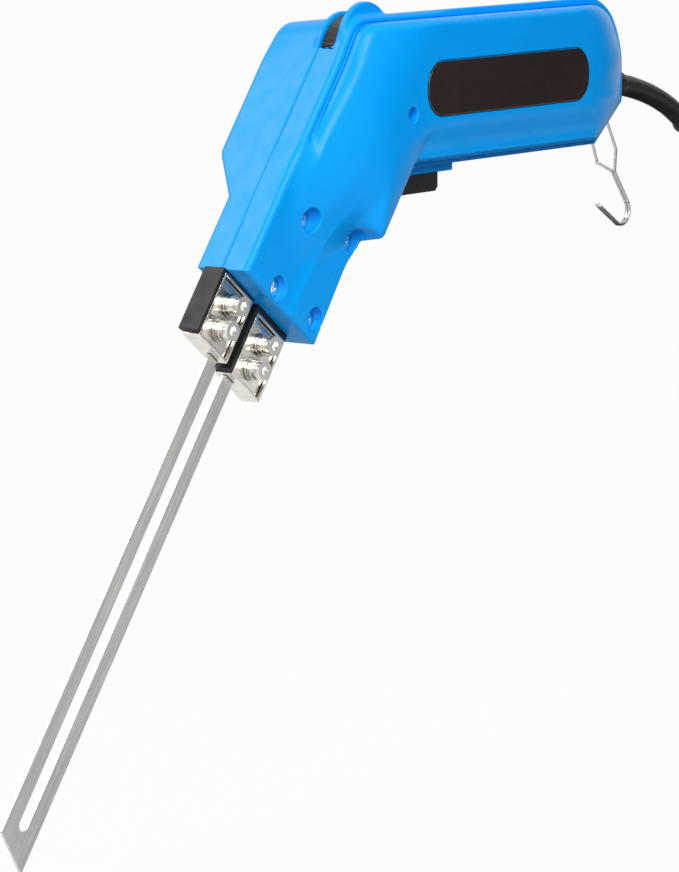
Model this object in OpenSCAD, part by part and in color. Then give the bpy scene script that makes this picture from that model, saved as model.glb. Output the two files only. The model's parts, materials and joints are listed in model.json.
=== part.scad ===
// Electric hot knife: pistol housing in two halves, forked heating blade, thumbwheel, trigger, hook and cord.
// X runs back along the grip, Y to the right, Z up. The origin is the middle of the grip.
// Widths are measured from the parting plane, positive to the left (the labelled side).

/* [Head] */
// Angle of the head and blade below the grip
head_angle = 52; // [48:1:56]
// Depth of the head from its front face to its rear face
head_depth = 49; // [48:0.5:52]
// Half width of the nose, both shells
nose_half = 11; // [10.5:0.5:12]
// Height along the head where the nose starts to widen
taper_start = 28; // [26:1:31]
// Height along the head where the full width is reached
taper_end = 46; // [44:1:50]
// Radius of the top front corner
front_corner_r = 12; // [8:1:14]

/* [Grip] */
// Half width of the grip and upper head
grip_half = 23; // [22:0.5:25]
// Height of the grip's top edge above the origin
grip_top = 28; // [27:0.5:30]
// Depth of the grip's bottom edge below the origin
grip_bottom = 26; // [25:0.5:28]
// Distance from the origin to the end of the straight sides
grip_back = 58; // [54:1:62]
// Radius in plan of the domed grip end
dome_r = 40; // [36:1:44]
// Radius of the grip's upper rear corner
rear_corner_r = 25; // [18:1:28]
// Run of the chamfer under the grip's end
chamfer_run = 19; // [16:1:20]
// Rise of the chamfer under the grip's end
chamfer_rise = 15; // [13:1:17]

/* [Shell] */
// Wall of the housing
wall = 3; // [2.5:0.1:3.2]
// Width of the rim band on the left shell
band_w = 11; // [10:0.5:12]
// Inset of the raised side panel behind the rim band
panel_inset = 3; // [2:0.25:4]
// Rounding of the raised side panel
panel_r = 10; // [8:0.5:11]
// Edge rounding of the right shell and rim band
edge_r = 2.5; // [1.5:0.25:3]
// Radius of a housing screw's recess
recess_r = 4.1; // [3.9:0.1:4.3]
// Radius of a housing screw's shank
shank_r = 1.5; // [1.25:0.05:1.6]

/* [Label] */
// Length of the label bar
label_l = 104; // [90:1:108]
// Height of the label bar
label_h = 19.5; // [16:0.5:22]
// Thickness of the label bar
label_t = 0.8; // [0.5:0.1:1.2]

/* [Blade] */
// Exposed reach of the blade beyond the nose
blade_reach = 209; // [150:1:230]
// Width over both legs of the blade
blade_w = 17.1; // [16:0.1:17.6]
// Slot between the blade's legs
blade_slot = 4.7; // [4.2:0.1:5.4]
// Thickness of the blade
blade_t = 1; // [0.8:0.1:1.4]
// Rise of the slanted tip
tip_rise = 7; // [4:0.5:12]

/* [Terminals] */
// Length of a terminal tray along the head
tray_l = 25; // [24:0.5:27]
// Width of a terminal tray
tray_w = 19; // [18:0.5:19.5]
// Depth of a terminal tray
tray_d = 7.6; // [7:0.1:8]
// Sheet thickness of a terminal tray
tray_t = 1; // [0.8:0.1:1.2]
// Spacing of the two trays
tray_pitch = 23.5; // [23:0.1:24]
// Spacing of the two clamp screws in a tray
clamp_pitch = 9.8; // [9.4:0.1:10.4]
// Radius of a clamp screw's head
clamp_head_r = 3.5; // [3.2:0.1:3.7]
// Radius of a clamp screw's shank
clamp_shank_r = 2; // [1.5:0.1:2.2]

/* [Controls] */
// Radius of the thumbwheel
wheel_r = 15.8; // [15:0.1:16]
// Thickness of the thumbwheel
wheel_t = 5.4; // [5:0.1:5.6]
// Radius of the thumbwheel's guard
guard_r = 15; // [14.8:0.1:16]
// Radius of the thumbwheel's shaft
shaft_r = 3; // [2.5:0.1:3.2]
// Length of the trigger
trigger_l = 26; // [24:0.5:28]
// Half width of the trigger
trigger_half = 6; // [5.5:0.1:6.5]
// Height of the trigger below the grip
trigger_drop = 10; // [8:0.5:12]
// Travel of the trigger
trigger_travel = 4; // [3:0.25:4]

/* [Hook] */
// Wire radius of the hook
wire_r = 0.6; // [0.5:0.05:0.7]
// Half spacing of the hook's legs
hook_half = 4.3; // [4.1:0.1:4.6]
// Length of a leg from the pivot to its knee
hook_leg = 18; // [16:0.5:20]
// Length of the hook's shank below the junction
hook_shank = 18; // [15:0.5:20]
// Mid radius of the hook's bend
hook_bend_r = 5.4; // [5:0.1:6.5]
// Length of the hook's straight tip
hook_tip = 16; // [12:0.5:20]

/* [Cord] */
// Diameter of the cord
cord_d = 6.6; // [6.2:0.1:6.8]
// Mid radius of the coil
coil_r = 38; // [37:0.5:38.5]
// Pins' spacing in the plug
pin_pitch = 19; // [17:0.5:20]

/* [Hidden] */

eps = 0.01;
blue = "#0a9bf2";
black = "#1d1c1c";
nickel = "#c9c6bd";
steel = "#b9b6b0";
copper = "#b8693a";
$fn = 48;

// Head frame: p runs up the head, q runs forward from its front face, w is the width.
nose_x = -150;
nose_z = -52;
// The nose ends a little below the frame's origin, and its rear face steps in under the panel's foot
nose_end = 1.8;
rear_step = 2.7;
ca = cos(head_angle);
sa = sin(head_angle);
function head_xz(p, q) = [nose_x + ca * p - sa * q, nose_z + sa * p + ca * q];
// Height along the head at which a line parallel to the front face meets a level z
function head_p(q, z) = (z - nose_z - ca * q) / sa;

// Carries children from the head frame (x = p, y = -w, z = q) into the part's frame
module head() {
    translate([nose_x, 0, nose_z]) rotate([0, -head_angle, 0]) children();
}

// Extrudes a side view drawn in X and Z from width w0 to width w1
module side(w0, w1) {
    rotate([90, 0, 0]) translate([0, 0, w0]) linear_extrude(w1 - w0) children();
}

// A cylinder along the width from w0 to w1 at a side-view point
module across(xz, r, w0, w1) {
    translate([xz[0], -w0, xz[1]]) rotate([90, 0, 0]) cylinder(r = r, h = w1 - w0);
}

function arc(c, r, a0, a1, n) = [for (i = [0:n]) let (a = a0 + (a1 - a0) * i / n) c + r * [cos(a), sin(a)]];

// Side view of the head: front, rounded top corner, top, rear and nose end, all moved in by an inset
function head_outline(inset) =
    let (
        r = max(front_corner_r - inset, 1),
        top = grip_top - inset,
        corner_q = -inset - r,
        corner = head_xz(head_p(corner_q, top - r), corner_q),
        rear_q = inset - head_depth,
        rear_low = -grip_bottom + inset
    )
    concat(
        [head_xz(-nose_end, -inset)],
        arc(corner, r, head_angle + 90, 90, 6),
        [[-45, top], head_xz(head_p(rear_q, rear_low), rear_q), head_xz(taper_start + 13, rear_q)],
        [head_xz(taper_start + 5, rear_q + 0.9 * rear_step), head_xz(taper_start - 1, rear_q + rear_step)],
        [head_xz(-nose_end, rear_q + 0.63 * rear_step)]
    );

// Back of the grip at a given width: straight sides that run into a dome
function grip_end(w) = grip_back + dome_r * sqrt(1 - pow(1 - (grip_half - abs(w)) / dome_r, 2));

// Side view of the grip whose back stands at x
function grip_outline(x, inset) =
    let (
        r = rear_corner_r - inset,
        top = grip_top - inset,
        low = -grip_bottom + inset,
        end = x - inset
    )
    concat(
        [[-78, low], [-78, top]],
        arc([end - r, top - r], r, 90, 0, 8),
        [[end, low + chamfer_rise], [end - chamfer_run, low]]
    );

// Part of the side view above a height along the head
module above(p) {
    translate([nose_x, nose_z]) rotate(head_angle) translate([p, -150]) square([300, 300]);
}

// Extrudes a plan drawn in lengths and widths over heights h0 to h1
module plan(h0, h1) {
    mirror([0, 1, 0]) translate([0, 0, h0]) linear_extrude(h1 - h0) children();
}

// Extrudes a section drawn in widths and heights over lengths a0 to a1
module lengthwise(a0, a1) {
    translate([a0, 0, 0]) mirror([0, 1, 0]) rotate([90, 0, 90]) linear_extrude(a1 - a0) children();
}

// Section of one half: flat at the parting plane, rounded at its outer edges, s is the side
function half_section(s, w, low, high, r_low, r_high) = [
    for (p = concat(
        [[0, low]], arc([w - r_low, low + r_low], r_low, -90, 0, 6),
        arc([w - r_high, high - r_high], r_high, 0, 90, 6),
        [[0, high]]
    )) [s * p[0], p[1]]
];

// Plan of the grip with its domed end, and plan of the head widening out of the nose
dome_steps = 14;
dome_plan = concat(
    [[-300, -grip_half]],
    [for (i = [0:dome_steps]) let (w = grip_half * (2 * i / dome_steps - 1)) [grip_end(w), w]],
    [[-300, grip_half]]
);
function nose_plan(s) = [
    [-nose_end - 1, 0], [-nose_end - 1, s * nose_half], [taper_start, s * nose_half],
    [taper_end, s * grip_half], [300, s * grip_half], [300, 0],
];

// Left shell's slab between the parting plane and the rim band's edge
module left_slab() {
    side(0, band_w) polygon(head_outline(0));
    intersection() {
        side(0, band_w) polygon(grip_outline(grip_end(0), 0));
        plan(-100, 100) polygon(dome_plan);
    }
}

// Raised panel on the left shell, widening out of the nose, with rounded edges
module left_panel() {
    low = -grip_bottom + panel_inset;
    high = grip_top - panel_inset;
    intersection() {
        side(band_w - 1, grip_half) intersection() {
            polygon(head_outline(panel_inset));
            above(taper_start);
        }
        head() plan(-100, 100) polygon(nose_plan(1));
        head() lengthwise(0, 300)
            polygon(half_section(1, grip_half, panel_inset - head_depth, -panel_inset, 1, panel_r));
        lengthwise(-300, 300) polygon(half_section(1, grip_half, -300, high, 1, panel_r));
    }
    intersection() {
        side(band_w - 1, grip_half) polygon(grip_outline(panel_end, panel_inset));
        plan(-100, 100) polygon(dome_plan);
        lengthwise(-300, 300) polygon(half_section(1, grip_half, low, high, panel_r, panel_r));
    }
}
panel_end = grip_end(grip_half - panel_r) + panel_inset;

// Solid envelope of the right shell: flat front and flank with small edge radii
module right_solid() {
    intersection() {
        side(-grip_half, 0) polygon(head_outline(0));
        head() plan(-100, 100) polygon(nose_plan(-1));
        head() lengthwise(-nose_end - 1, 300)
            polygon(half_section(-1, grip_half, -head_depth, 0, 1, edge_r));
        lengthwise(-300, 300) polygon(half_section(-1, grip_half, -300, grip_top, 1, edge_r));
    }
    intersection() {
        side(-grip_half, 0) polygon(grip_outline(grip_end(0), 0));
        plan(-100, 100) polygon(dome_plan);
        lengthwise(-300, 300)
            polygon(half_section(-1, grip_half, -grip_bottom, grip_top, edge_r, edge_r));
    }
}

// Side view of the hollow in the head and grip, moved in from the outline, ending at x
module hollow(inset, x, p) {
    intersection() {
        polygon(head_outline(inset));
        above(p);
    }
    polygon(grip_outline(x + inset, inset));
}

deep_inset = panel_inset + panel_r / 2;
left_deep = grip_half - wall - 0.5;
shallow = band_w - wall + 0.5;
deep_p = taper_end + 4;
nose_hollow = nose_half - wall;
nose_wall = wall + 0.25;
module left_hollow() {
    side(-1, shallow) hollow(wall, grip_end(shallow) - wall, deep_p);
    side(-1, left_deep) hollow(deep_inset, grip_end(left_deep) - deep_inset, deep_p);
    nose_opening();
}
module right_hollow() {
    side(-shallow, 1) hollow(wall, grip_end(shallow) - wall, deep_p);
    side(wall - grip_half, 1) hollow(wall, grip_end(left_deep) - wall, deep_p);
    nose_opening();
}

// Space in the nose for the secondary strap, closed by an end wall that the insulators' necks pass
module nose_opening() {
    side(-nose_hollow, nose_hollow) translate([nose_x, nose_z]) rotate(head_angle)
        translate([wall, nose_wall + rear_step - head_depth])
        square([deep_p + 1 - wall, head_depth - 2 * nose_wall - rear_step]);
    head() for (i = [0, 1])
        neck_box(i, -nose_end - 1, wall + 1, 0.3);
}

// Housing screws: two columns in the nose, and one where the grip begins
screw_q = [-0.384 * head_depth, -0.865 * head_depth];
screw_spots = [
    head_xz(3.4, screw_q[0]), head_xz(5.5, screw_q[1]),
    head_xz(30.8, -0.371 * head_depth), head_xz(38.9, -0.894 * head_depth),
];
grip_screw = [-70, -5.6];
grip_recess_r = 2.6;
screw_seat = 5.4;
boss_r = shank_r + 1.9;
screw_head_r = recess_r - 0.6;
screw_head_h = 2;
screw_reach = 9;
screw_clear = 0.2;

// Thumbwheel place and widths
dial_xz = [-78.9, 13.7];
guard_xz = [-78.3, 19];
wheel_gap = 0.5;
slot_w = wheel_t + 2 * wheel_gap;
slot_r = wheel_r + 0.8;
guard_t = 2.5;
lip_t = 2;
lip_r = wheel_r + 1;
lip_inner_r = wheel_r - 2.5;

// Trigger place: just behind the head, in a slot with a lip below the grip
trigger_x = -57;
trigger_gap = 0.4;
lip_drop = 3;
lip_wall = 2;
trigger_low = -grip_bottom - trigger_drop;

// Hook pivot inside the chamfer, and the slots in which its legs swing
hook_xz = [82.5, -14.8];
hook_clear = 0.3;
lug_half = hook_half - wire_r - hook_clear;
lug_r = 3.6;
leg_slot_r = 8.5;
pin_clear = 0.06;

// Cord exit in the middle of the grip's end
exit_z = -5.5;
neck_r = 4.8;
fit_gap = 0.05;

// Recess and clearance hole of one housing screw in the left shell
module screw_well(xz, r) {
    across(xz, r, screw_seat, grip_half + 1);
    across(xz, shank_r + screw_clear, -1, screw_seat + 1);
}

module left_shell() {
    color(blue) difference() {
        union() {
            difference() {
                union() {
                    left_slab();
                    left_panel();
                    across(guard_xz, guard_r, slot_w, slot_w + guard_t);
                    trigger_lip(0, trigger_half + trigger_gap + lip_wall);
                }
                left_hollow();
            }
            across(guard_xz, guard_r - 1.5, slot_w, slot_w + guard_t);
            for (s = screw_spots) intersection() {
                across(s, recess_r + 1.6, 0, shallow + 1);
                side(0, shallow + 1) polygon(head_outline(0.3));
            }
            across(grip_screw, grip_recess_r + 1.6, 0, left_deep + 1);
            across(hook_xz, lug_r, 0, lug_half);
        }
        for (s = screw_spots) screw_well(s, recess_r);
        screw_well(grip_screw, grip_recess_r);
        across(dial_xz, slot_r, -1, slot_w);
        trigger_slot();
        leg_slot(1);
        across(hook_xz, wire_r + pin_clear, -1, hook_half);
        cord_hole();
        label_pocket();
    }
}

module right_shell() {
    color(blue) difference() {
        union() {
            difference() {
                union() {
                    right_solid();
                    across(dial_xz, lip_r, -lip_t, 0);
                    trigger_lip(-trigger_half - trigger_gap - lip_wall, 0);
                }
                right_hollow();
            }
            across(dial_xz, lip_inner_r, -lip_t, 0);
            for (s = screw_spots) across(s, boss_r, eps - nose_half, 0);
            across(grip_screw, boss_r, wall - grip_half - 1, 0);
            across(hook_xz, lug_r, -lug_half, 0);
            for (s = board_posts) across(s, post_r, wall - grip_half - 1, board_w);
            for (x = switch_posts)
                across([x, switch_low + switch_h / 2], post_r, wall - grip_half - 1, -switch_half);
            for (z = clamp_z) across([clamp_x, z], clamp_post_r, wall - grip_half - 1, clamp_seat);
        }
        for (s = concat(screw_spots, [grip_screw])) across(s, shank_r + fit_gap, -screw_reach - 0.5, 1);
        for (z = clamp_z) across([clamp_x, z], shank_r + fit_gap, -screw_reach - 0.5, clamp_seat + 1);
        across(dial_xz, shaft_r + 0.4, -lip_t - 1, 1);
        trigger_slot();
        leg_slot(-1);
        across(hook_xz, wire_r + pin_clear, -hook_half, 1);
        cord_hole();
    }
}

// Lip round the trigger slot below the grip
module trigger_lip(w0, w1) {
    side(w0, w1) translate([trigger_x - trigger_gap - lip_wall, -grip_bottom - lip_drop])
        square([trigger_l + 2 * trigger_gap + 2 * lip_wall + 4, lip_drop + wall]);
}
module trigger_slot() {
    side(-trigger_half - trigger_gap, trigger_half + trigger_gap)
        translate([trigger_x - trigger_gap, -grip_bottom - lip_drop - 1])
        square([trigger_l + 2 * trigger_gap, lip_drop + wall + 2]);
}

// Slot for one leg of the hook
module leg_slot(s) {
    w = s * hook_half - wire_r - hook_clear;
    across(hook_xz, leg_slot_r, w, w + 2 * (wire_r + hook_clear));
}
module cord_hole() {
    translate([40, 0, exit_z]) rotate([0, 90, 0]) cylinder(r = neck_r + fit_gap, h = 80);
}

// Label bar, sunk half its thickness into the raised panel
label_x = -9;
label_z = 2.6;
module label_outline(grow) {
    r = label_h * 0.36;
    for (x = [r - label_l / 2, label_l / 2 - r], z = [r - label_h / 2, label_h / 2 - r])
        translate([x, z]) circle(r + grow);
    square([label_l + 2 * grow, label_h - 2 * r], center = true);
    square([label_l - 2 * r, label_h + 2 * grow], center = true);
}
module label_pocket() {
    side(grip_half - label_t / 2, grip_half + 1) translate([label_x, label_z]) label_outline(0.15);
}
module label_plate() {
    color(black) side(grip_half - label_t / 2, grip_half + label_t / 2) translate([label_x, label_z])
        label_outline(0);
}

module housing_screws() {
    color(steel) for (s = concat(screw_spots, [grip_screw])) {
        across(
            s, s == grip_screw ? grip_recess_r - 0.3 : screw_head_r, screw_seat, screw_seat + screw_head_h
        );
        across(s, shank_r, -screw_reach, screw_seat);
    }
}

// Blade: a flat fork clamped in both trays, set a little right of the parting plane
blade_mid_q = 3.3 - head_depth / 2;
blade_mid_w = -1;
leg_w = (blade_w - blade_slot) / 2;
slit_gap = 0.3;
// Top of each tray below the frame's origin
tray_top = [2.6, 3.9];
blade_foot = -tray_top[1] - tray_t - slit_gap;
// The legs are narrower inside the trays
root_slot = tray_pitch - tray_w + 2 * tray_t + 2 * slit_gap;
root_w = (blade_w - root_slot) / 2;
module blade() {
    front = blade_w / 2;
    slot_end = tip_rise + leg_w * 1.1;
    color(steel) head() translate([0, blade_t / 2 - blade_mid_w, blade_mid_q]) rotate([90, 0, 0])
        linear_extrude(blade_t) difference() {
            polygon([
                [blade_foot, front], [-blade_reach, front], [-blade_reach - tip_rise, -front],
                [blade_foot, -front],
            ]);
            translate([slot_end - blade_reach - tip_rise, 0]) circle(blade_slot / 2);
            translate([slot_end - blade_reach - tip_rise, -blade_slot / 2])
                square([blade_reach + tip_rise, blade_slot]);
            translate([-tray_top[1] - tray_l - 0.8, -root_slot / 2]) square([tray_l + 6, root_slot]);
        }
}

// Terminal trays: sheet-metal boxes open to the left, the blade's legs entering through a slit below
tray_right = blade_mid_w - tray_d / 2;
tray_q = [blade_mid_q + tray_pitch / 2, blade_mid_q - tray_pitch / 2];
root_q = [blade_mid_q + (root_slot + root_w) / 2, blade_mid_q - (root_slot + root_w) / 2];
module tray(i) {
    color(nickel) head() difference() {
        translate([-tray_top[i] - tray_l, -tray_right - tray_d, tray_q[i] - tray_w / 2])
            cube([tray_l, tray_d, tray_w]);
        translate([
            tray_t - tray_top[i] - tray_l, -tray_right - tray_d - 1, tray_q[i] - tray_w / 2 + tray_t,
        ])
            cube([tray_l - 2 * tray_t, tray_d + 1 - tray_t, tray_w - 2 * tray_t]);
        translate([
            -tray_top[i] - tray_l - 1, -blade_mid_w - blade_t / 2 - slit_gap,
            root_q[i] - root_w / 2 - slit_gap,
        ])
            cube([tray_t + 2, blade_t + 2 * slit_gap, root_w + 2 * slit_gap]);
        translate([-tray_top[i] - tray_t - 1, strap_y - slit_gap, strap_q[i] - strap_w / 2 - slit_gap])
            cube([tray_t + 2, strap_t + 2 * slit_gap, strap_w + 2 * slit_gap]);
        for (k = [-1, 1]) clamp_hole(i, k, clamp_shank_r + fit_gap);
    }
}
module front_tray() tray(0);
module rear_tray() tray(1);

// Axis of one clamp screw across a tray
function clamp_p(i) = -tray_top[i] - tray_l / 2;
module at_clamp(i, k) {
    head() translate([clamp_p(i) + k * clamp_pitch / 2, 0, tray_q[i]]) rotate([90, 0, 0]) children();
}
module clamp_hole(i, k, r) {
    translate([clamp_p(i) + k * clamp_pitch / 2, 0, tray_q[i]]) rotate([90, 0, 0])
        cylinder(r = r, h = 60, center = true);
}

// Insulators: a black cheek on each tray's front side, a roof over the tray and a neck round the strap
cheek_t = 1.7;
cheek_gap = 0.1;
cheek_rear = 0.8;
neck_top = 12;
neck_wall = 1.1;
// Each strap leg keeps clear of the nose's front wall or of the lower housing screw beside it
neck_side = 0.6;
boss_side = [0.366, 0.435];
strap_w = -screw_q[0] - boss_r - boss_side[0] - nose_wall - neck_side - 2 * neck_wall;
strap_q = [
    -nose_wall - neck_side - neck_wall - strap_w / 2,
    screw_q[1] + boss_r + boss_side[1] + neck_wall + strap_w / 2,
];
module neck_box(i, p0, p1, grow) {
    translate([p0, -grow, strap_q[i] - strap_w / 2 - neck_wall - grow])
        cube([p1 - p0, strap_y + strap_t + 1.7 + 2 * grow, strap_w + 2 * neck_wall + 2 * grow]);
}
module insulator(i) {
    top = -nose_end - cheek_gap;
    low = 1 - tray_top[i] - tray_l;
    roof = cheek_gap - tray_top[i];
    color(black) head() difference() {
        union() {
            translate([low, -tray_right - tray_d, tray_q[i] + tray_w / 2 + cheek_gap])
                cube([top - low, tray_d + cheek_rear, cheek_t]);
            translate([roof, -tray_right - tray_d, tray_q[i] - tray_w / 2])
                cube([top - roof, tray_d + cheek_rear, tray_w + cheek_gap + cheek_t]);
            neck_box(i, roof, neck_top, 0);
        }
        translate([-40, strap_y - slit_gap, strap_q[i] - strap_w / 2 - slit_gap])
            cube([80, strap_t + 2 * slit_gap, strap_w + 2 * slit_gap]);
    }
}
module front_insulator() insulator(0);
module rear_insulator() insulator(1);

// Clamp stack in a tray, from its floor outwards: strap pad, blade leg, plate, washers, screw head
stack_floor = tray_right + tray_t;
blade_under = blade_mid_w - blade_t / 2;
strap_t = blade_under - stack_floor;
strap_y = -blade_under;
plate_t = 2;
plate_w0 = blade_under + blade_t;
washer_t = 0.9;
spring_t = 1.4;
clamp_head_h = 4;
clamp_tail = 2.6;
washer_r = clamp_head_r + 0.5;
function slab_low(i) = -tray_top[i] - tray_l + tray_t + slit_gap;
function slab_high(i) = -tray_top[i] - tray_t - slit_gap;
module clamp_slab(i, w0, w1) {
    difference() {
        translate([slab_low(i), -w1, tray_q[i] - tray_w / 2 + tray_t + slit_gap])
            cube([slab_high(i) - slab_low(i), w1 - w0, tray_w - 2 * tray_t - 2 * slit_gap]);
        for (k = [-1, 1]) clamp_hole(i, k, clamp_shank_r + fit_gap);
    }
}
module clamp_plates() {
    color(nickel) head() for (i = [0, 1]) clamp_slab(i, plate_w0, plate_w0 + plate_t);
}
washer_w0 = plate_w0 + plate_t;
spring_w0 = washer_w0 + washer_t;
head_w0 = spring_w0 + spring_t;
module plain_washers() {
    color(nickel) for (i = [0, 1], k = [-1, 1]) at_clamp(i, k) translate([0, 0, washer_w0]) difference() {
        cylinder(r = washer_r, h = washer_t);
        translate([0, 0, -1]) cylinder(r = clamp_shank_r + 0.2, h = washer_t + 2);
    }
}
module spring_washers() {
    color(nickel) for (i = [0, 1], k = [-1, 1]) at_clamp(i, k) translate([0, 0, spring_w0]) difference() {
        cylinder(r = clamp_head_r + 0.1, h = spring_t);
        translate([0, 0, -1]) cylinder(r = clamp_shank_r + 0.2, h = spring_t + 2);
        translate([0, -0.4, -1]) cube([10, 0.8, 10]);
    }
}
module clamp_screws() {
    color(steel) for (i = [0, 1], k = [-1, 1]) at_clamp(i, k) {
        translate([0, 0, tray_right - clamp_tail])
            cylinder(r = clamp_shank_r, h = head_w0 - tray_right + clamp_tail);
        translate([0, 0, head_w0]) difference() {
            cylinder(r = clamp_head_r, h = clamp_head_h);
            translate([0, 0, clamp_head_h / 2]) cylinder(r = clamp_head_r / 2, h = clamp_head_h, $fn = 6);
        }
    }
}

// Transformer in the upper head: laminations stacked along p, middle leg across the width
core_p = 54;
core_stack = 17;
core_left = 8;
core_seat = 0.3;
core_right = wall - grip_half + core_seat;
core_half = head_depth / 2 - wall - 3.5;
core_leg = 0.28 * core_half;
core_window = 0.78 * core_half;
yoke = 5;
window_left = core_left - yoke;
window_right = core_right + yoke;
bobbin_gap = 0.3;
bobbin_t = 0.8;
winding_half = 0.48 * core_half;
// Box in the head frame given by its p, width and q limits, q counted from the blade's middle
module head_box(p0, p1, w0, w1, q0, q1) {
    translate([p0, -w1, blade_mid_q + q0]) cube([p1 - p0, w1 - w0, q1 - q0]);
}
module core_ring(grow, w0, w1, inner) {
    difference() {
        head_box(core_p - grow, core_p + core_stack + grow, w0, w1, -core_leg - grow, core_leg + grow);
        head_box(
            core_p - inner, core_p + core_stack + inner, w0 - 1, w1 + 1, -core_leg - inner, core_leg + inner
        );
    }
}
module transformer_core() {
    color("#4a4a4e") head() difference() {
        head_box(core_p, core_p + core_stack, core_right, core_left, -core_half, core_half);
        for (q = [core_leg, -core_window])
            head_box(
                core_p - 1, core_p + core_stack + 1, window_right, window_left, q, q + core_window - core_leg
            );
    }
}
module coil_bobbin() {
    flange = winding_half - core_leg;
    color("#d8d2c0") head() {
        core_ring(bobbin_gap + bobbin_t, window_right + 0.3, window_left - 0.3, bobbin_gap);
        for (w = [window_right + 0.3, window_left - 0.3 - bobbin_t])
            core_ring(flange, w, w + bobbin_t, bobbin_gap);
    }
}
module primary_winding() {
    color(copper) head() core_ring(
        winding_half - core_leg - 0.2, window_right + bobbin_t + 0.4, window_left - bobbin_t - 0.4,
        bobbin_gap + bobbin_t + 0.1
    );
}
// One-turn secondary: two legs from the trays up through the windows, joined above the core
strap_core_w = 0.25 * core_half;
strap_core_q = (core_window + winding_half) / 2;
strap_top = core_p + core_stack + 9;
strap_neck = 46;
module secondary_strap() {
    color(copper) head() {
        for (i = [0, 1]) {
            clamp_slab(i, stack_floor, blade_under);
            translate([slab_high(i) - eps, strap_y, strap_q[i] - strap_w / 2])
                cube([strap_neck - slab_high(i) + eps, strap_t, strap_w]);
            translate([strap_neck - 1, strap_y, blade_mid_q + (1 - 2 * i) * strap_core_q - strap_core_w / 2])
                cube([strap_top - strap_neck + 1, strap_t, strap_core_w]);
        }
        translate([strap_top - strap_core_w, strap_y, blade_mid_q - strap_core_q - strap_core_w / 2])
            cube([strap_core_w, strap_t, 2 * strap_core_q + strap_core_w]);
    }
}

// Electronics on a board in the grip, seated on posts of the right shell
board_w = -12;
board_t = 1.6;
board_x = [-22, 46];
board_z = [-15, 18];
board_posts = [[-18, -11], [-18, 14], [42, -11], [42, 14]];
post_r = 2.5;
part_w = board_w + board_t;
// Box given by its X, width and Z limits
module grip_box(x0, x1, w0, w1, z0, z1) {
    translate([x0, -w1, z0]) cube([x1 - x0, w1 - w0, z1 - z0]);
}
module circuit_board() {
    color("#1f6b3a") grip_box(board_x[0], board_x[1], board_w, part_w, board_z[0], board_z[1]);
}
module triac() {
    color(black) grip_box(4, 14, part_w, part_w + 4.5, -4, 11);
}
module heat_sink() {
    color("#b4b8bc") {
        grip_box(0, 18, part_w + 4.5, part_w + 6.5, -8, 15);
        for (x = [0:4:16]) grip_box(x, x + 2, part_w + 6.5, part_w + 13, -8, 15);
    }
}
module capacitor() {
    color("#c8a23a") grip_box(-16, -3, part_w, part_w + 11, -2, 14);
}
module terminal_block() {
    color("#2f7d4f") difference() {
        grip_box(28, 40, part_w, part_w + 9, -9, 9);
        for (z = [-4.5, 4.5]) translate([25, -part_w - 4, z]) rotate([0, 90, 0]) cylinder(r = 1.5, h = 30);
    }
}

// Potentiometer behind the lip wall, its shaft through it into the thumbwheel
pot_r = 8.2;
pot_w = 8.5;
shaft_run = 0.06;
shaft_depth = 7;
module potentiometer() {
    color("#8f9296") difference() {
        across(dial_xz, pot_r, -lip_t - pot_w, -lip_t);
        across(dial_xz, shaft_r + shaft_run, -lip_t - shaft_depth - 0.3, 1);
    }
}
module dial_shaft() {
    color(nickel) across(dial_xz, shaft_r, -lip_t - shaft_depth, slot_w - wheel_gap);
}
wheel_ribs = 48;
rib_h = 0.5;
module dial_wheel() {
    color(black) difference() {
        side(wheel_gap, wheel_gap + wheel_t) translate(dial_xz) polygon([
            for (i = [0:2 * wheel_ribs - 1])
                let (a = 180 * i / wheel_ribs, r = wheel_r - (i % 2) * rib_h)
                r * [cos(a), sin(a)]
        ]);
        across(dial_xz, shaft_r + fit_gap, -1, slot_w + 1);
    }
}

// Trigger in its slot, with a plunger and a return spring up to the switch
switch_low = -16;
switch_h = 16;
switch_half = 7;
switch_posts = [-52, -36];
trigger_top = -grip_bottom + wall + 0.5;
trigger_flange = 1.6;
plunger_r = 2;
plunger_gap = 0.1;
spring_r = 3.4;
spring_wire = 0.4;
spring_turns = 5;
spring_seat = switch_low + 7;
trigger_mid = trigger_x + trigger_l / 2;
module trigger() {
    bevel = 3;
    color(black) difference() {
        union() {
            side(-trigger_half, trigger_half) polygon(concat(
                [[trigger_x, trigger_top], [trigger_x, trigger_low + bevel]],
                [[trigger_x + bevel, trigger_low], [trigger_x + trigger_l - bevel / 2, trigger_low]],
                [[trigger_x + trigger_l, trigger_low + bevel / 2], [trigger_x + trigger_l, trigger_top]]
            ));
            side(-trigger_half - 1.4, trigger_half + 1.4) translate([trigger_x, trigger_top])
                square([trigger_l, trigger_flange]);
        }
        translate([trigger_mid, 0, trigger_top - 4]) cylinder(r = plunger_r + plunger_gap, h = 20);
    }
}
module switch_plunger() {
    color("#e6e2d8") translate([trigger_mid, 0, trigger_top - 4])
        cylinder(r = plunger_r, h = spring_seat - trigger_top + 5.5);
}
module switch_body() {
    color("#2a2a2c") difference() {
        grip_box(
            trigger_x, trigger_x + trigger_l, -switch_half, switch_half, switch_low, switch_low + switch_h
        );
        translate([trigger_mid, 0, switch_low - 1]) {
            cylinder(r = spring_r + spring_wire + 0.5, h = spring_seat - switch_low + 1);
            cylinder(r = plunger_r + plunger_gap, h = spring_seat - switch_low + 3 + trigger_travel);
        }
    }
}

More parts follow.
